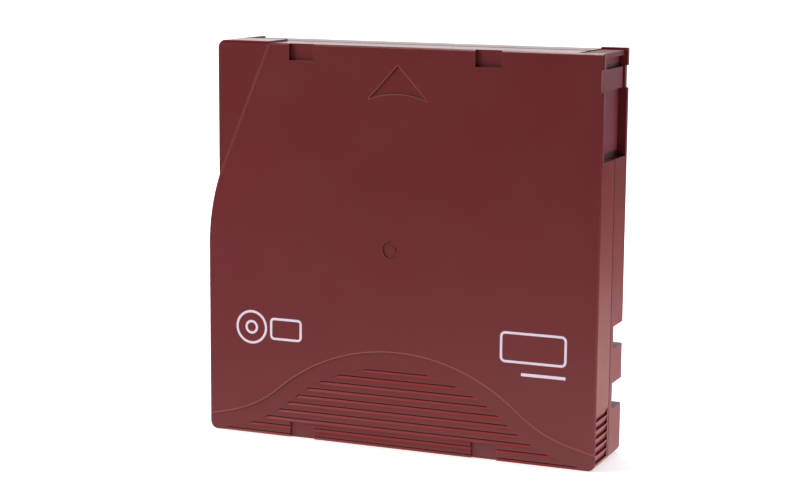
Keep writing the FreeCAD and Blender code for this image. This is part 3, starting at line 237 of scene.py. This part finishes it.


# marks of the casing, in mm: painted shadow along the join between the shells and in the deepest part of the
# grip's grooves, painted light on the grooves' sloping walls, and painted highlight bands along the edges of
# the face's zones

casing = {
    # the first two values: half width of the painted shadow along the join between the shells, and the colour
    # of all painted shadow on the casing
    "seamShadow": 0.28, "paintedShadowColour": (0.030, 0.004, 0.006), "dull": 0.5,
    "lower": {"shade": (0.88, 0.80, 0.84), "rougher": 0.05},
    "rim": {"height": 101.3, "partingShadow": 0.8, "blur": 0.3, "smoother": -0.18},
    # grip: shade brightens the grooves' sloping walls as painted light; past floor, their deepest part gets
    # painted shadow
    "grip": {"middle": -10.16, "half": 0.19, "floor": -10.10, "width": 50.0, "height": 20.3,
             "shade": (1.75, 1.35, 1.0)},
}
# painted highlights: light bands along the edges of the arrow, the lowered corner and the bell-shaped zone,
# where those edges catch the light
edgeHighlights = {
    "colour": (0.27, 0.058, 0.064),
    "arrow": {"tip": 97.05, "foot": 88.6, "half": 7.8, "rise": 1.5, "line": 0.12, "strength": 0.75,
              "sideRoom": 0.2, "footRoom": 0.4},
    "corner": {"top": (-35.25, 102.0), "side": (-49.65, 67.4), "line": 0.32, "blur": 0.2, "strength": 0.35},
    "bell": {"top": 24.9, "crown": 49.3, "flank": 33.0, "steep": 41.2, "foot": 14.0, "line": 0.13,
             "topRoom": 1},
}


def arrowHighlight(tree, x, z):
    # a painted highlight in a narrow band round the arrow: two straight legs and an arched base
    arrow = edgeHighlights["arrow"]
    run, drop, rise = arrow["half"], arrow["tip"] - arrow["foot"], arrow["rise"]
    length = math.hypot(run, drop)
    across = away(tree, x, 0.0)
    legs = plus(tree, times(tree, across, drop / length),
                times(tree, minus(tree, z, arrow["tip"]), run / length))
    radius = (run ** 2 + rise ** 2) / (2 * rise)
    base = minus(tree, z, arrow["foot"] + rise - radius)
    under = minus(tree, radius, spread(tree, x, base))
    line = stroke(tree, away(tree, largest(tree, legs, under), arrow["line"]), arrow["line"])
    near = times(tree, isUnder(tree, across, run + arrow["sideRoom"]),
                 isOver(tree, z, arrow["foot"] - arrow["footRoom"]))
    return times(tree, line, near, arrow["strength"])


def cornerHighlight(tree, x, z):
    # a painted highlight in a soft band along the edge of the lowered corner
    corner = edgeHighlights["corner"]
    (topX, topZ), (sideX, sideZ) = corner["top"], corner["side"]
    length = math.hypot(topX - sideX, topZ - sideZ)
    over = minus(tree, times(tree, minus(tree, x, sideX), (topZ - sideZ) / length),
                 times(tree, minus(tree, z, sideZ), (topX - sideX) / length))
    line = stroke(tree, away(tree, over, corner["line"]), corner["line"], corner["blur"])
    return times(tree, line, corner["strength"])


def bellHighlight(tree, x, z):
    # a painted highlight in a narrow band just outside the edge of the bell-shaped zone: crown, flank and
    # foot
    bell = edgeHighlights["bell"]
    top, crown, flank = bell["top"], bell["crown"], bell["flank"]
    steep, foot = math.radians(bell["steep"]), math.radians(bell["foot"])
    meetX, meetZ = crown * math.sin(steep), top - crown * (1 - math.cos(steep))
    endX = meetX + flank * (math.sin(steep) - math.sin(foot))
    endZ = meetZ - flank * (math.cos(foot) - math.cos(steep))
    centreX, centreZ = meetX + flank * math.sin(steep), meetZ + flank * math.cos(steep)
    across = away(tree, x, 0.0)
    overCrown = minus(tree, spread(tree, x, minus(tree, z, top - crown)), crown)
    overFlank = minus(tree, flank, spread(tree, minus(tree, across, centreX), minus(tree, z, centreZ)))
    fall = times(tree, minus(tree, across, endX), math.tan(foot))
    overFoot = minus(tree, plus(tree, z, fall), endZ)
    over = mixValue(tree, isOver(tree, across, meetX), overCrown, overFlank)
    over = mixValue(tree, isOver(tree, across, endX), over, overFoot)
    line = stroke(tree, away(tree, over, bell["line"]), bell["line"])
    return times(tree, line, isUnder(tree, z, top + bell["topRoom"]))


def gripSlopes(tree, x, y, z):
    # the sloping walls of the grip's grooves
    grip = casing["grip"]
    zone = times(tree, isUnder(tree, away(tree, x, 0.0), grip["width"]), isUnder(tree, z, grip["height"]))
    return times(tree, zone, stroke(tree, away(tree, y, grip["middle"]), grip["half"]))


def casingFinish(tree, colour):
    # colour of both shells with the lower shell's tone, painted shadow along the join and in the grooves,
    # painted light on the grooves' slopes, painted highlight bands and print, and what it adds to their
    # roughness
    x, y, z = inMillimetres(tree)
    grip, rimValues = casing["grip"], casing["rim"]
    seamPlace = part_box("upper_shell")[1][1] / mm
    face = isUnder(tree, y, printed["face"])
    below = isOver(tree, y, seamPlace)
    rim = isOver(tree, z, rimValues["height"])
    slopes = gripSlopes(tree, x, y, z)
    highlightLines = largest(tree, bellHighlight(tree, x, z), arrowHighlight(tree, x, z), cornerHighlight(tree, x, z))
    # painted shadow in the deepest part of the grooves
    grooveShadow = times(tree, slopes, isOver(tree, y, grip["floor"]))
    fromSeam = away(tree, y, seamPlace)
    # painted shadow along the join between the shells: wide and soft across the rim, narrow elsewhere
    partingShadow = times(tree, rim, stroke(tree, fromSeam, rimValues["partingShadow"], rimValues["blur"]))
    seamShadow = stroke(tree, fromSeam, casing["seamShadow"])
    colour = mixColour(tree, below, colour, casing["lower"]["shade"], "MULTIPLY")
    # painted light: the grooves' sloping walls are brightened
    colour = mixColour(tree, slopes, colour, grip["shade"], "MULTIPLY")
    # painted highlight bands along the zones' edges, on the arrow face
    colour = mixColour(tree, times(tree, highlightLines, face), colour, edgeHighlights["colour"])
    # painted shadow: the grooves' deepest part and the join between the shells darken
    for mask in (grooveShadow, partingShadow, seamShadow):
        colour = mixColour(tree, mask, colour, casing["paintedShadowColour"])
    colour = mixColour(tree, times(tree, printMask(tree, x, z), face), colour, printed["colour"])
    rougher = plus(tree, times(tree, largest(tree, partingShadow, grooveShadow, seamShadow), casing["dull"]),
                   times(tree, rim, rimValues["smoother"]), times(tree, below, casing["lower"]["rougher"]))
    return colour, rougher


# moulded plastics: one recipe, its values per finish

plastics = {
    # per finish: deep and light are the plastic's own tones; the third colour and edge give wear and a
    # painted highlight on convex edges; nook sets how much painted shade darkens creases
    "shell": {"deep": (0.150, 0.0135, 0.0160), "light": (0.156, 0.0150, 0.0175), "wearAndHighlight": (0.26, 0.065, 0.070),
              "rough": (0.33, 0.40), "grain": 5200, "grainHeight": 0.012,
              "edge": 0.22, "nook": 0.35, "coat": 0.0},
    "door": {"deep": (0.132, 0.0220, 0.0360), "light": (0.142, 0.0250, 0.0400), "wearAndHighlight": (0.27, 0.08, 0.085),
             "rough": (0.44, 0.52), "grain": 6500, "grainHeight": 0.007,
             "edge": 0.4, "nook": 0.7, "coat": 0.0},
    "hub": {"deep": (0.72, 0.72, 0.69), "light": (0.80, 0.80, 0.78), "wearAndHighlight": (0.86, 0.86, 0.85),
            "rough": (0.35, 0.48), "grain": 4200, "grainHeight": 0.006,
            "edge": 0.2, "nook": 0.35, "coat": 0.1},
    "flange": {"deep": (0.62, 0.64, 0.65), "light": (0.72, 0.74, 0.75), "wearAndHighlight": (0.85, 0.86, 0.87),
               "rough": (0.16, 0.26), "grain": 3000, "grainHeight": 0.002,
               "edge": 0.2, "nook": 0.2, "coat": 0.0},
    "lock": {"deep": (0.55, 0.54, 0.49), "light": (0.64, 0.63, 0.58), "wearAndHighlight": (0.75, 0.74, 0.70),
             "rough": (0.38, 0.50), "grain": 4200, "grainHeight": 0.006,
             "edge": 0.2, "nook": 0.35, "coat": 0.0},
    "pad": {"deep": (0.075, 0.080, 0.088), "light": (0.105, 0.110, 0.120), "wearAndHighlight": (0.22, 0.23, 0.24),
            "rough": (0.40, 0.52), "grain": 4200, "grainHeight": 0.006,
            "edge": 0.3, "nook": 0.4, "coat": 0.0},
    "tab": {"deep": (0.48, 0.050, 0.026), "light": (0.58, 0.070, 0.036), "wearAndHighlight": (0.72, 0.20, 0.12),
            "rough": (0.36, 0.48), "grain": 4600, "grainHeight": 0.006,
            "edge": 0.3, "nook": 0.4, "coat": 0.0},
}
mouldedLook = {
    "cloud": {"scale": 22, "detail": 3, "rough": 0.55}, "cloudShare": 0.6,
    "flow": {"scale": 140, "detail": 4, "rough": 0.6}, "flowStretch": (1, 1, 0.25),
    "blend": [(0.38, 0), (0.62, 1)],
    "smear": {"scale": 60, "detail": 5, "rough": 0.6},
    "nookReach": 0.5, "shut": [(0.45, 1), (0.95, 0)], "bare": [(0.80, 0), (0.97, 1)],
    "nookShade": 0.25, "nookRougher": 0.35,
    "edgeReach": 0.34, "edgeGain": 9,
    "grain": {"detail": 2, "rough": 0.6}, "grainStrength": 0.7,
    "refraction": 1.5, "coatRough": 0.30,
}
noiseReach = (0.3, 0.7)  # values of a noise that stand for the lower and the upper roughness


def roughnessFrom(tree, value, rough):
    return ramp(tree, value, list(zip(noiseReach, rough)))


def edgeMask(tree, reach, strength):
    # near 1 on sharp edges, from how far a rounded normal leans away
    rounded = addNode(tree, "ShaderNodeBevel", {"Radius": reach}, samples=4)
    flat = addNode(tree, "ShaderNodeNewGeometry")
    dot = addNode(tree, "ShaderNodeVectorMath", operation="DOT_PRODUCT")
    tree.links.new(rounded.outputs["Normal"], dot.inputs[0])
    tree.links.new(flat.outputs["Normal"], dot.inputs[1])
    return calc(tree, "MULTIPLY", minus(tree, 1.0, dot.outputs["Value"]), strength, clamp=True)


def plasticMaterial(name):
    look = plastics[name]
    material, tree, shader = newMaterial(name + "Plastic")
    here = objectPlace(tree)
    cloud = noise(tree, here, **mouldedLook["cloud"])
    flow = noise(tree, objectPlace(tree, mouldedLook["flowStretch"]), **mouldedLook["flow"])
    share = mouldedLook["cloudShare"]
    mixed = plus(tree, times(tree, cloud, share), times(tree, flow, 1 - share))
    colour = mixColour(tree, ramp(tree, mixed, mouldedLook["blend"]), look["deep"], look["light"])

    # painted shade: the colour darkens in creases and nooks, found by ambient occlusion
    nook = addNode(tree, "ShaderNodeAmbientOcclusion", {"Distance": mouldedLook["nookReach"] * mm},
                   samples=6, only_local=True)
    shut = ramp(tree, nook.outputs["AO"], mouldedLook["shut"])
    shade = tuple(part * mouldedLook["nookShade"] for part in look["deep"])
    colour = mixColour(tree, times(tree, shut, look["nook"]), colour, shade)

    # convex edges take a lighter colour: edge wear, and a painted highlight where the edges catch the light
    bare = ramp(tree, nook.outputs["AO"], mouldedLook["bare"])
    edges = edgeMask(tree, mouldedLook["edgeReach"] * mm, look["edge"] * mouldedLook["edgeGain"])
    colour = mixColour(tree, times(tree, edges, bare), colour, look["wearAndHighlight"])

    rough = roughnessFrom(tree, noise(tree, here, **mouldedLook["smear"]), look["rough"])
    rough = calc(tree, "ADD", rough, times(tree, shut, mouldedLook["nookRougher"]), clamp=True)
    if name == "shell":
        colour, rougher = casingFinish(tree, colour)
        rough = calc(tree, "ADD", rough, rougher, clamp=True)
    tree.links.new(colour, shader.inputs["Base Color"])
    tree.links.new(rough, shader.inputs["Roughness"])
    grain = noise(tree, here, look["grain"], **mouldedLook["grain"])
    bump(tree, shader, grain, mouldedLook["grainStrength"], look["grainHeight"] * mm)
    shader.inputs["IOR"].default_value = mouldedLook["refraction"]
    shader.inputs["Coat Weight"].default_value = look["coat"]
    shader.inputs["Coat Roughness"].default_value = mouldedLook["coatRough"]
    return material


# metals, film and boards

steels = {
    "steel": {"name": "brushedSteel", "stretch": (1, 0.05, 1), "tone": (0.56, 0.56, 0.57),
              "rough": (0.22, 0.36)},
    "wire": {"name": "springWire", "stretch": (1, 1, 0.2), "tone": (0.60, 0.60, 0.60),
             "rough": (0.2, 0.3)},
}
brushing = {"scale": 900, "detail": 4, "rough": 0.65, "shade": 0.82, "bump": 0.35, "depth": 0.004}
turnings = {
    "tape": {"name": "tapeFilm", "colours": ((0.018, 0.014, 0.012), (0.040, 0.032, 0.028)),
             "rough": (0.18, 0.34), "metallic": 0.0, "ringsPerMm": 6, "bump": 0.5, "groove": 0.02},
    "clutch": {"name": "turnedSteel", "colours": ((0.42, 0.42, 0.43), (0.58, 0.58, 0.59)),
               "rough": (0.22, 0.36), "metallic": 1.0, "ringsPerMm": 9, "bump": 0.5, "groove": 0.006},
}
boards = {
    "board": {"name": "solderMask", "colours": ((0.012, 0.085, 0.036), (0.022, 0.13, 0.055)),
              "metallic": 0.0},
    "antenna": {"name": "etchedCopper", "colours": ((0.62, 0.30, 0.14), (0.80, 0.46, 0.25)),
                "metallic": 0.9},
    "chip": {"name": "castResin", "colours": ((0.012, 0.012, 0.013), (0.020, 0.020, 0.021)),
             "metallic": 0.0},
}
tracks = {"scale": 420, "wander": 1.2, "edge": [(0.45, 0), (0.55, 1)], "rough": 0.35,
          "bump": 0.3, "depth": 0.01}
streakBlend = [(0.35, 0), (0.65, 1)]


def steelMaterial(look):
    # brushed along one way, in which the streaks are stretched
    material, tree, shader = newMaterial(look["name"])
    streak = noise(tree, objectPlace(tree, look["stretch"]), brushing["scale"], brushing["detail"],
                   brushing["rough"])
    dark = tuple(part * brushing["shade"] for part in look["tone"])
    tree.links.new(mixColour(tree, ramp(tree, streak, streakBlend), dark, look["tone"]),
                   shader.inputs["Base Color"])
    tree.links.new(roughnessFrom(tree, streak, look["rough"]), shader.inputs["Roughness"])
    bump(tree, shader, streak, brushing["bump"], brushing["depth"] * mm)
    shader.inputs["Metallic"].default_value = 1.0
    return material


def turnedMaterial(look):
    # rings about the reel's axis: layers of film, or the marks of a lathe
    material, tree, shader = newMaterial(look["name"])
    low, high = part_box("reel_hub")
    axis = ((low[0] + high[0]) / 2, 0, (low[2] + high[2]) / 2)
    rings = addNode(tree, "ShaderNodeTexNoise", {"Scale": 1.0, "Detail": 4.0}, noise_dimensions="1D")
    radius = times(tree, distanceFrom(tree, axis, (1, 0, 1)), look["ringsPerMm"] / mm)
    tree.links.new(radius, rings.inputs["W"])
    band = rings.outputs["Fac"]
    tree.links.new(mixColour(tree, ramp(tree, band, streakBlend), *look["colours"]),
                   shader.inputs["Base Color"])
    tree.links.new(roughnessFrom(tree, band, look["rough"]), shader.inputs["Roughness"])
    bump(tree, shader, band, look["bump"], look["groove"] * mm)
    shader.inputs["Metallic"].default_value = look["metallic"]
    return material


def boardMaterial(look):
    # solder mask, copper or resin with faint tracks
    material, tree, shader = newMaterial(look["name"])
    wave = addNode(tree, "ShaderNodeTexWave", {"Scale": tracks["scale"], "Distortion": tracks["wander"]},
                   wave_type="BANDS", bands_direction="Z")
    tree.links.new(objectPlace(tree), wave.inputs["Vector"])
    tree.links.new(mixColour(tree, ramp(tree, wave.outputs["Fac"], tracks["edge"]), *look["colours"]),
                   shader.inputs["Base Color"])
    shader.inputs["Metallic"].default_value = look["metallic"]
    shader.inputs["Roughness"].default_value = tracks["rough"]
    bump(tree, shader, wave.outputs["Fac"], tracks["bump"], tracks["depth"] * mm)
    return material


def setMaterial(piece, material):
    piece.data.materials.clear()
    piece.data.materials.append(material)


def dressNode(name, material):
    for place in nodes[name].material_slots:
        place.material = material


# camera, floor and light

view = {"place": (0.1872, -0.4578, 0.1315), "turn": 22.61, "down": 9.45, "roll": 0.43, "lens": 88.7,
        "sensor": 36, "near": 0.01}
studio = {"front": -0.32, "side": 1.6, "back": 1.3, "height": 1.6, "gap": 0.0001, "aim": (0, 0, 0.05)}
paper = {"shade": 0.80, "rough": 0.9, "spot": (0.115, 0.04)}  # spot: where the floor mirrors brightest
room = {"light": 0.15, "mirrored": 0.06}
lamps = {
    "keyLamp": {"place": (-0.80, -0.45, 0.55), "size": (0.6, 0.5), "power": 8.8, "mirrored": True},
    "sideLamp": {"place": (0.135, 0.03, 0.008), "size": (0.10, 0.03), "power": 0.155, "mirrored": False},
    "topLamp": {"place": (-0.15, 0.20, 1.05), "size": (0.6, 0.5), "power": 9.0, "mirrored": True},
}
glow = {  # (distance in metres, strength): seen by the camera, mirrored by the object, lighting the object
    "floor": {"seen": [(0.10, 0.55), (0.30, 1.0)],
              "mirrored": [(0.08, 1.0), (0.16, 0.72), (0.25, 0.26), (0.45, 0.03)],
              "lit": [(0.08, 1.0), (0.16, 0.80), (0.26, 0.05)]},
    "backdrop": {"seen": [(0.0, 1.0), (1.0, 1.0)], "mirrored": [(0.0, 1.0), (1.0, 1.0)],
                 "lit": [(0.0, 0.0), (1.0, 0.0)]},
}


def placeCamera():
    camera = bpy.data.objects.new("camera", bpy.data.cameras.new("camera"))
    bpy.context.scene.collection.objects.link(camera)
    look = (Matrix.Rotation(math.radians(view["turn"]), 4, "Z")
            @ Matrix.Rotation(math.radians(90 - view["down"]), 4, "X")
            @ Matrix.Rotation(math.radians(view["roll"]), 4, "Z"))
    camera.matrix_world = Matrix.Translation(view["place"]) @ look
    camera.data.lens = view["lens"]
    camera.data.sensor_width = view["sensor"]
    camera.data.clip_start = view["near"]
    bpy.context.scene.camera = camera


def flatSheet(name, corners):
    sheet = bmesh.new()
    sheet.faces.new([sheet.verts.new(corner) for corner in corners])
    mesh = bpy.data.meshes.new(name)
    sheet.to_mesh(mesh)
    sheet.free()
    piece = bpy.data.objects.new(name, mesh)
    bpy.context.scene.collection.objects.link(piece)
    return piece


def clearFromBehind(tree, surface):
    side = addNode(tree, "ShaderNodeNewGeometry")
    clear = addNode(tree, "ShaderNodeBsdfTransparent")
    either = addNode(tree, "ShaderNodeMixShader")
    tree.links.new(side.outputs["Backfacing"], either.inputs[0])
    tree.links.new(surface, either.inputs[1])
    tree.links.new(clear.outputs["BSDF"], either.inputs[2])
    tree.links.new(either.outputs["Shader"], tree.nodes["Material Output"].inputs["Surface"])


def paperMaterial(name, seen, mirrored, lit):
    # pale paper that glows by the kind of ray: seen and lit from the middle, mirrored from the bright spot
    material, tree, shader = newMaterial(name)
    shader.inputs["Roughness"].default_value = paper["rough"]
    shader.inputs["Specular IOR Level"].default_value = 0.0
    rays = addNode(tree, "ShaderNodeLightPath").outputs
    tree.links.new(mixColour(tree, rays["Is Glossy Ray"], (paper["shade"],) * 3, (0, 0, 0)),
                   shader.inputs["Base Color"])
    fromMiddle = distanceFrom(tree, (0, 0, 0), (1, 1, 0))
    fromSpot = distanceFrom(tree, (*paper["spot"], 0), (1, 1, 0))
    straight = largest(tree, rays["Is Camera Ray"], rays["Is Transmission Ray"])
    glows = ((fromMiddle, seen, straight), (fromSpot, mirrored, rays["Is Glossy Ray"]),
             (fromMiddle, lit, rays["Is Diffuse Ray"]))
    parts = [times(tree, ramp(tree, distance, stops), ray) for distance, stops, ray in glows]
    light = addNode(tree, "ShaderNodeEmission", {"Color": (1, 1, 1, 1)})
    tree.links.new(largest(tree, *parts), light.inputs["Strength"])
    both = addNode(tree, "ShaderNodeAddShader")
    tree.links.new(shader.outputs["BSDF"], both.inputs[0])
    tree.links.new(light.outputs["Emission"], both.inputs[1])
    clearFromBehind(tree, both.outputs["Shader"])
    return material


def layFloor():
    front, side, back, height = (studio[key] for key in ("front", "side", "back", "height"))
    low = -studio["gap"]
    floor = flatSheet("floor", [(-side, front, low), (side, front, low),
                                (side, back, low), (-side, back, low)])
    wall = flatSheet("backdrop", [(-side, back, 0), (side, back, 0),
                                  (side, back, height), (-side, back, height)])
    setMaterial(floor, paperMaterial("floorPaper", **glow["floor"]))
    setMaterial(wall, paperMaterial("wallPaper", **glow["backdrop"]))


def lightRoom():
    # white to the camera, dim to the object
    world = bpy.data.worlds.new("room")
    bpy.context.scene.world = world
    world.use_nodes = True
    tree = world.node_tree
    rays = addNode(tree, "ShaderNodeLightPath").outputs
    dim = mixValue(tree, rays["Is Glossy Ray"], room["light"], room["mirrored"])
    sky = tree.nodes["Background"].inputs
    sky["Color"].default_value = (1, 1, 1, 1)
    tree.links.new(largest(tree, rays["Is Camera Ray"], dim), sky["Strength"])


def softLamp(name, place, size, power, mirrored):
    lamp = bpy.data.objects.new(name, bpy.data.lights.new(name, "AREA"))
    bpy.context.scene.collection.objects.link(lamp)
    lamp.data.shape = "RECTANGLE"
    lamp.data.size, lamp.data.size_y = size
    lamp.data.energy = power
    lamp.visible_camera = False
    lamp.visible_glossy = mirrored
    lamp.location = place
    lamp.rotation_euler = (Vector(studio["aim"]) - Vector(place)).to_track_quat("-Z", "Y").to_euler()


placeCamera()
layFloor()
lightRoom()
for name, values in lamps.items():
    softLamp(name, **values)
bpy.context.scene.view_settings.view_transform = "Standard"
print("camera, floor and lamps placed")


# moulded parts: the solid's own mesh, merged, with its sharp edges rounded

mouldedParts = {
    "upper_shell": {"finish": "shell", "width": 0.10, "rings": 2},
    "lower_shell": {"finish": "shell", "width": 0.10, "rings": 2},
    "access_door": {"finish": "door", "width": 0.12, "rings": 2},
    "write_tab": {"finish": "tab", "width": 0.12, "rings": 2},
}
merging = {"near": 0.002, "flat": 0.4, "sharp": 28, "shade": 38}  # mm, then degrees


def linkPiece(mesh, name, material, body):
    piece = bpy.data.objects.new(name, mesh)
    bpy.context.scene.collection.objects.link(piece)
    setMaterial(piece, material)
    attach(piece, body)
    return piece


def roundedCopy(node, material):
    width, rings = mouldedParts[node]["width"] * mm, mouldedParts[node]["rings"]
    shape = bmesh.new()
    shape.from_mesh(nodes[node].data)
    bmesh.ops.remove_doubles(shape, verts=shape.verts, dist=merging["near"] * mm)
    bmesh.ops.dissolve_limit(shape, angle_limit=math.radians(merging["flat"]), verts=shape.verts,
                             edges=shape.edges)
    bend = math.radians(merging["sharp"])
    sharp = [e for e in shape.edges if len(e.link_faces) == 2 and e.calc_face_angle(0) > bend]
    bmesh.ops.bevel(shape, geom=sharp, offset=width, affect="EDGES", segments=rings, profile=0.5,
                    material=-1, clamp_overlap=True)
    bmesh.ops.recalc_face_normals(shape, faces=shape.faces)
    mesh = bpy.data.meshes.new(node + "_rounded")
    shape.to_mesh(mesh)
    shape.free()
    mesh.shade_smooth()
    mesh.set_sharp_from_angle(angle=math.radians(merging["shade"]))
    piece = linkPiece(mesh, node + "_moulded", material, bodyOfNode[node])
    even = piece.modifiers.new("evenNormals", "WEIGHTED_NORMAL")
    even.keep_sharp = True
    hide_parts(node)


# coil springs: the wire, wound between the two ends of the solid's box

coils = {
    "door_spring": {"axis": 2, "turns": 9, "wire": 0.4, "joint": "door_slide"},
    "brake_spring": {"axis": 1, "turns": 4, "wire": 0.7, "joint": "brake_lift"},
}
winding = {"steps": 28, "sides": 10, "flatTurns": 0.8}  # steps in a turn, sides of the wire


def coilRise(share, turns, flat):
    # the end turns lie flat on their seats
    end = winding["flatTurns"] / turns
    if share < end:
        return flat * share / end
    if share > 1 - end:
        return 1 - flat * (1 - share) / end
    return flat + (1 - 2 * flat) * (share - end) / (1 - 2 * end)


def coilSpring(node, material):
    values = coils[node]
    axis, turns, wire = values["axis"], values["turns"], values["wire"] * mm
    steps = turns * winding["steps"]
    low, high = (Vector(corner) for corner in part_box(node))
    middle = (low + high) / 2
    length = high[axis] - low[axis]
    direction = [1 if i == axis else 0 for i in range(3)]
    up, out = Vector(direction), Vector(direction[-1:] + direction[:-1])
    across = (axis + 1) % 3
    start = middle + out * ((high[across] - low[across] - wire) / 2)
    start[axis] = low[axis] + wire / 2
    facing = Matrix((up, out, up.cross(out))).transposed().to_4x4()
    wound = bmesh.new()
    bmesh.ops.create_circle(wound, cap_ends=True, segments=winding["sides"], radius=wire / 2,
                            matrix=Matrix.Translation(start) @ facing)
    section = wound.verts[:] + wound.edges[:] + wound.faces[:]
    turn = Matrix.Rotation(2 * math.pi / winding["steps"], 3, up)
    rises = [(length - wire) * coilRise(i / steps, turns, wire / length) for i in range(steps + 1)]
    for before, after in zip(rises, rises[1:]):
        section = bmesh.ops.extrude_face_region(wound, geom=section)["geom"]
        verts = [part for part in section if isinstance(part, bmesh.types.BMVert)]
        bmesh.ops.rotate(wound, verts=verts, cent=middle, matrix=turn)
        bmesh.ops.translate(wound, verts=verts, vec=up * (after - before))
    bmesh.ops.recalc_face_normals(wound, faces=wound.faces)
    mesh = bpy.data.meshes.new(node + "_wire")
    wound.to_mesh(mesh)
    wound.free()
    mesh.shade_smooth()
    piece = linkPiece(mesh, node + "_wound", material, bodyOfNode[node])
    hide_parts(node)
    anchor = middle.copy()
    anchor[axis] = low[axis]
    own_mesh(piece)


# screws: pan head with a six-lobed socket, plain shank, short point; heights from the head's underside

screw = {
    "top": 1.4, "dome": [(1.45, 0.03), (1.95, 0.18), (2.2, 0.42), (2.3, 0.7)],  # radius, fall from the top
    "bevel": 0.06, "socket": 0.92, "depth": 0.85, "dip": 0.15, "draught": 0.96, "lobes": 6, "lobe": 0.17,
    "shank": 1.0, "point": 1.0, "tip": 0.25, "steps": 72, "near": 0.001, "shade": 40,
}


def screwProfile(length):
    # (radius, height) from the socket's floor, over the head, down to the point
    top, bevel, socket = screw["top"], screw["bevel"], screw["socket"]
    floor, head = top - screw["depth"], screw["dome"][-1][0]
    inside = [(0.0, floor - screw["dip"]), (socket * screw["draught"], floor), (socket, top - bevel),
              (socket + bevel, top)]
    dome = [(radius, top - fall) for radius, fall in screw["dome"]]
    stem = [(head, bevel), (head - bevel, 0.0), (screw["shank"], 0.0),
            (screw["shank"], screw["point"] - length), (screw["tip"], -length)]
    return inside + dome + stem


def screwPlaces():
    # middle and both ends of each screw, from the islands of the solid's own mesh
    shape = bmesh.new()
    shape.from_mesh(nodes["case_screws"].data)
    bmesh.ops.remove_doubles(shape, verts=shape.verts, dist=screw["near"] * mm)
    left = set(shape.verts)
    places = []
    while left:
        island, edge = set(), [left.pop()]
        while edge:
            vert = edge.pop()
            island.add(vert)
            for other in (e.other_vert(vert) for e in vert.link_edges):
                if other in left:
                    left.discard(other)
                    edge.append(other)
        points = [v.co for v in island]
        lows = [min(p[i] for p in points) for i in range(3)]
        highs = [max(p[i] for p in points) for i in range(3)]
        places.append(((lows[0] + highs[0]) / 2, lows[1], highs[1], (lows[2] + highs[2]) / 2))
    shape.free()
    return places


def turnScrew(shape, x, low, high, z):
    under = high - screw["top"] * mm
    begun = len(shape.verts)
    line = [shape.verts.new((x + radius * mm, under + height * mm, z))
            for radius, height in screwProfile((under - low) / mm)]
    edges = [shape.edges.new(pair) for pair in zip(line, line[1:])]
    bmesh.ops.spin(shape, geom=line + edges, cent=(x, under, z), axis=(0, 1, 0), angle=2 * math.pi,
                   steps=screw["steps"], use_merge=True)
    for vert in list(shape.verts)[begun:]:  # the round socket gets its lobes
        out = Vector((vert.co.x - x, 0, vert.co.z - z))
        radius = out.length / mm
        if vert.co.y > under + screw["bevel"] * mm and radius < screw["socket"] + 2 * screw["bevel"]:
            wave = math.cos(screw["lobes"] * math.atan2(out.z, out.x)) * min(1, radius / screw["socket"])
            vert.co += out.normalized() * (screw["lobe"] * wave * mm)


def caseScrews(material):
    shape = bmesh.new()
    for place in screwPlaces():
        turnScrew(shape, *place)
    bmesh.ops.remove_doubles(shape, verts=shape.verts, dist=screw["near"] * mm)
    bmesh.ops.holes_fill(shape, edges=[e for e in shape.edges if e.is_boundary])
    bmesh.ops.recalc_face_normals(shape, faces=shape.faces)
    mesh = bpy.data.meshes.new("case_screws_turned")
    shape.to_mesh(mesh)
    shape.free()
    mesh.shade_smooth()
    mesh.set_sharp_from_angle(angle=math.radians(screw["shade"]))
    piece = linkPiece(mesh, "case_screws_driven", material, bodyOfNode["case_screws"])
    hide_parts("case_screws")


materials = {name: plasticMaterial(name) for name in plastics}
materials.update({name: steelMaterial(look) for name, look in steels.items()})
materials.update({name: turnedMaterial(look) for name, look in turnings.items()})
materials.update({name: boardMaterial(look) for name, look in boards.items()})
print("materials mixed")

carried = {
    "reel_hub": "hub", "reel_top_flange": "flange", "clutch_plate": "clutch", "tape_pack": "tape",
    "brake_disc": "lock", "release_pad": "pad",
    "leader_pin": "steel", "pin_springs": "wire", "leader_clip": "pad", "leader_tape": "tape",
    "memory_board": "board", "memory_antenna": "antenna", "memory_chip": "chip",
}
for node, finish in carried.items():
    dressNode(node, materials[finish])
print("carried parts dressed")

for node, values in mouldedParts.items():
    roundedCopy(node, materials[values["finish"]])
print("moulded parts rounded")

for node in coils:
    coilSpring(node, materials["wire"])
caseScrews(materials["steel"])
print("springs wound, screws turned")
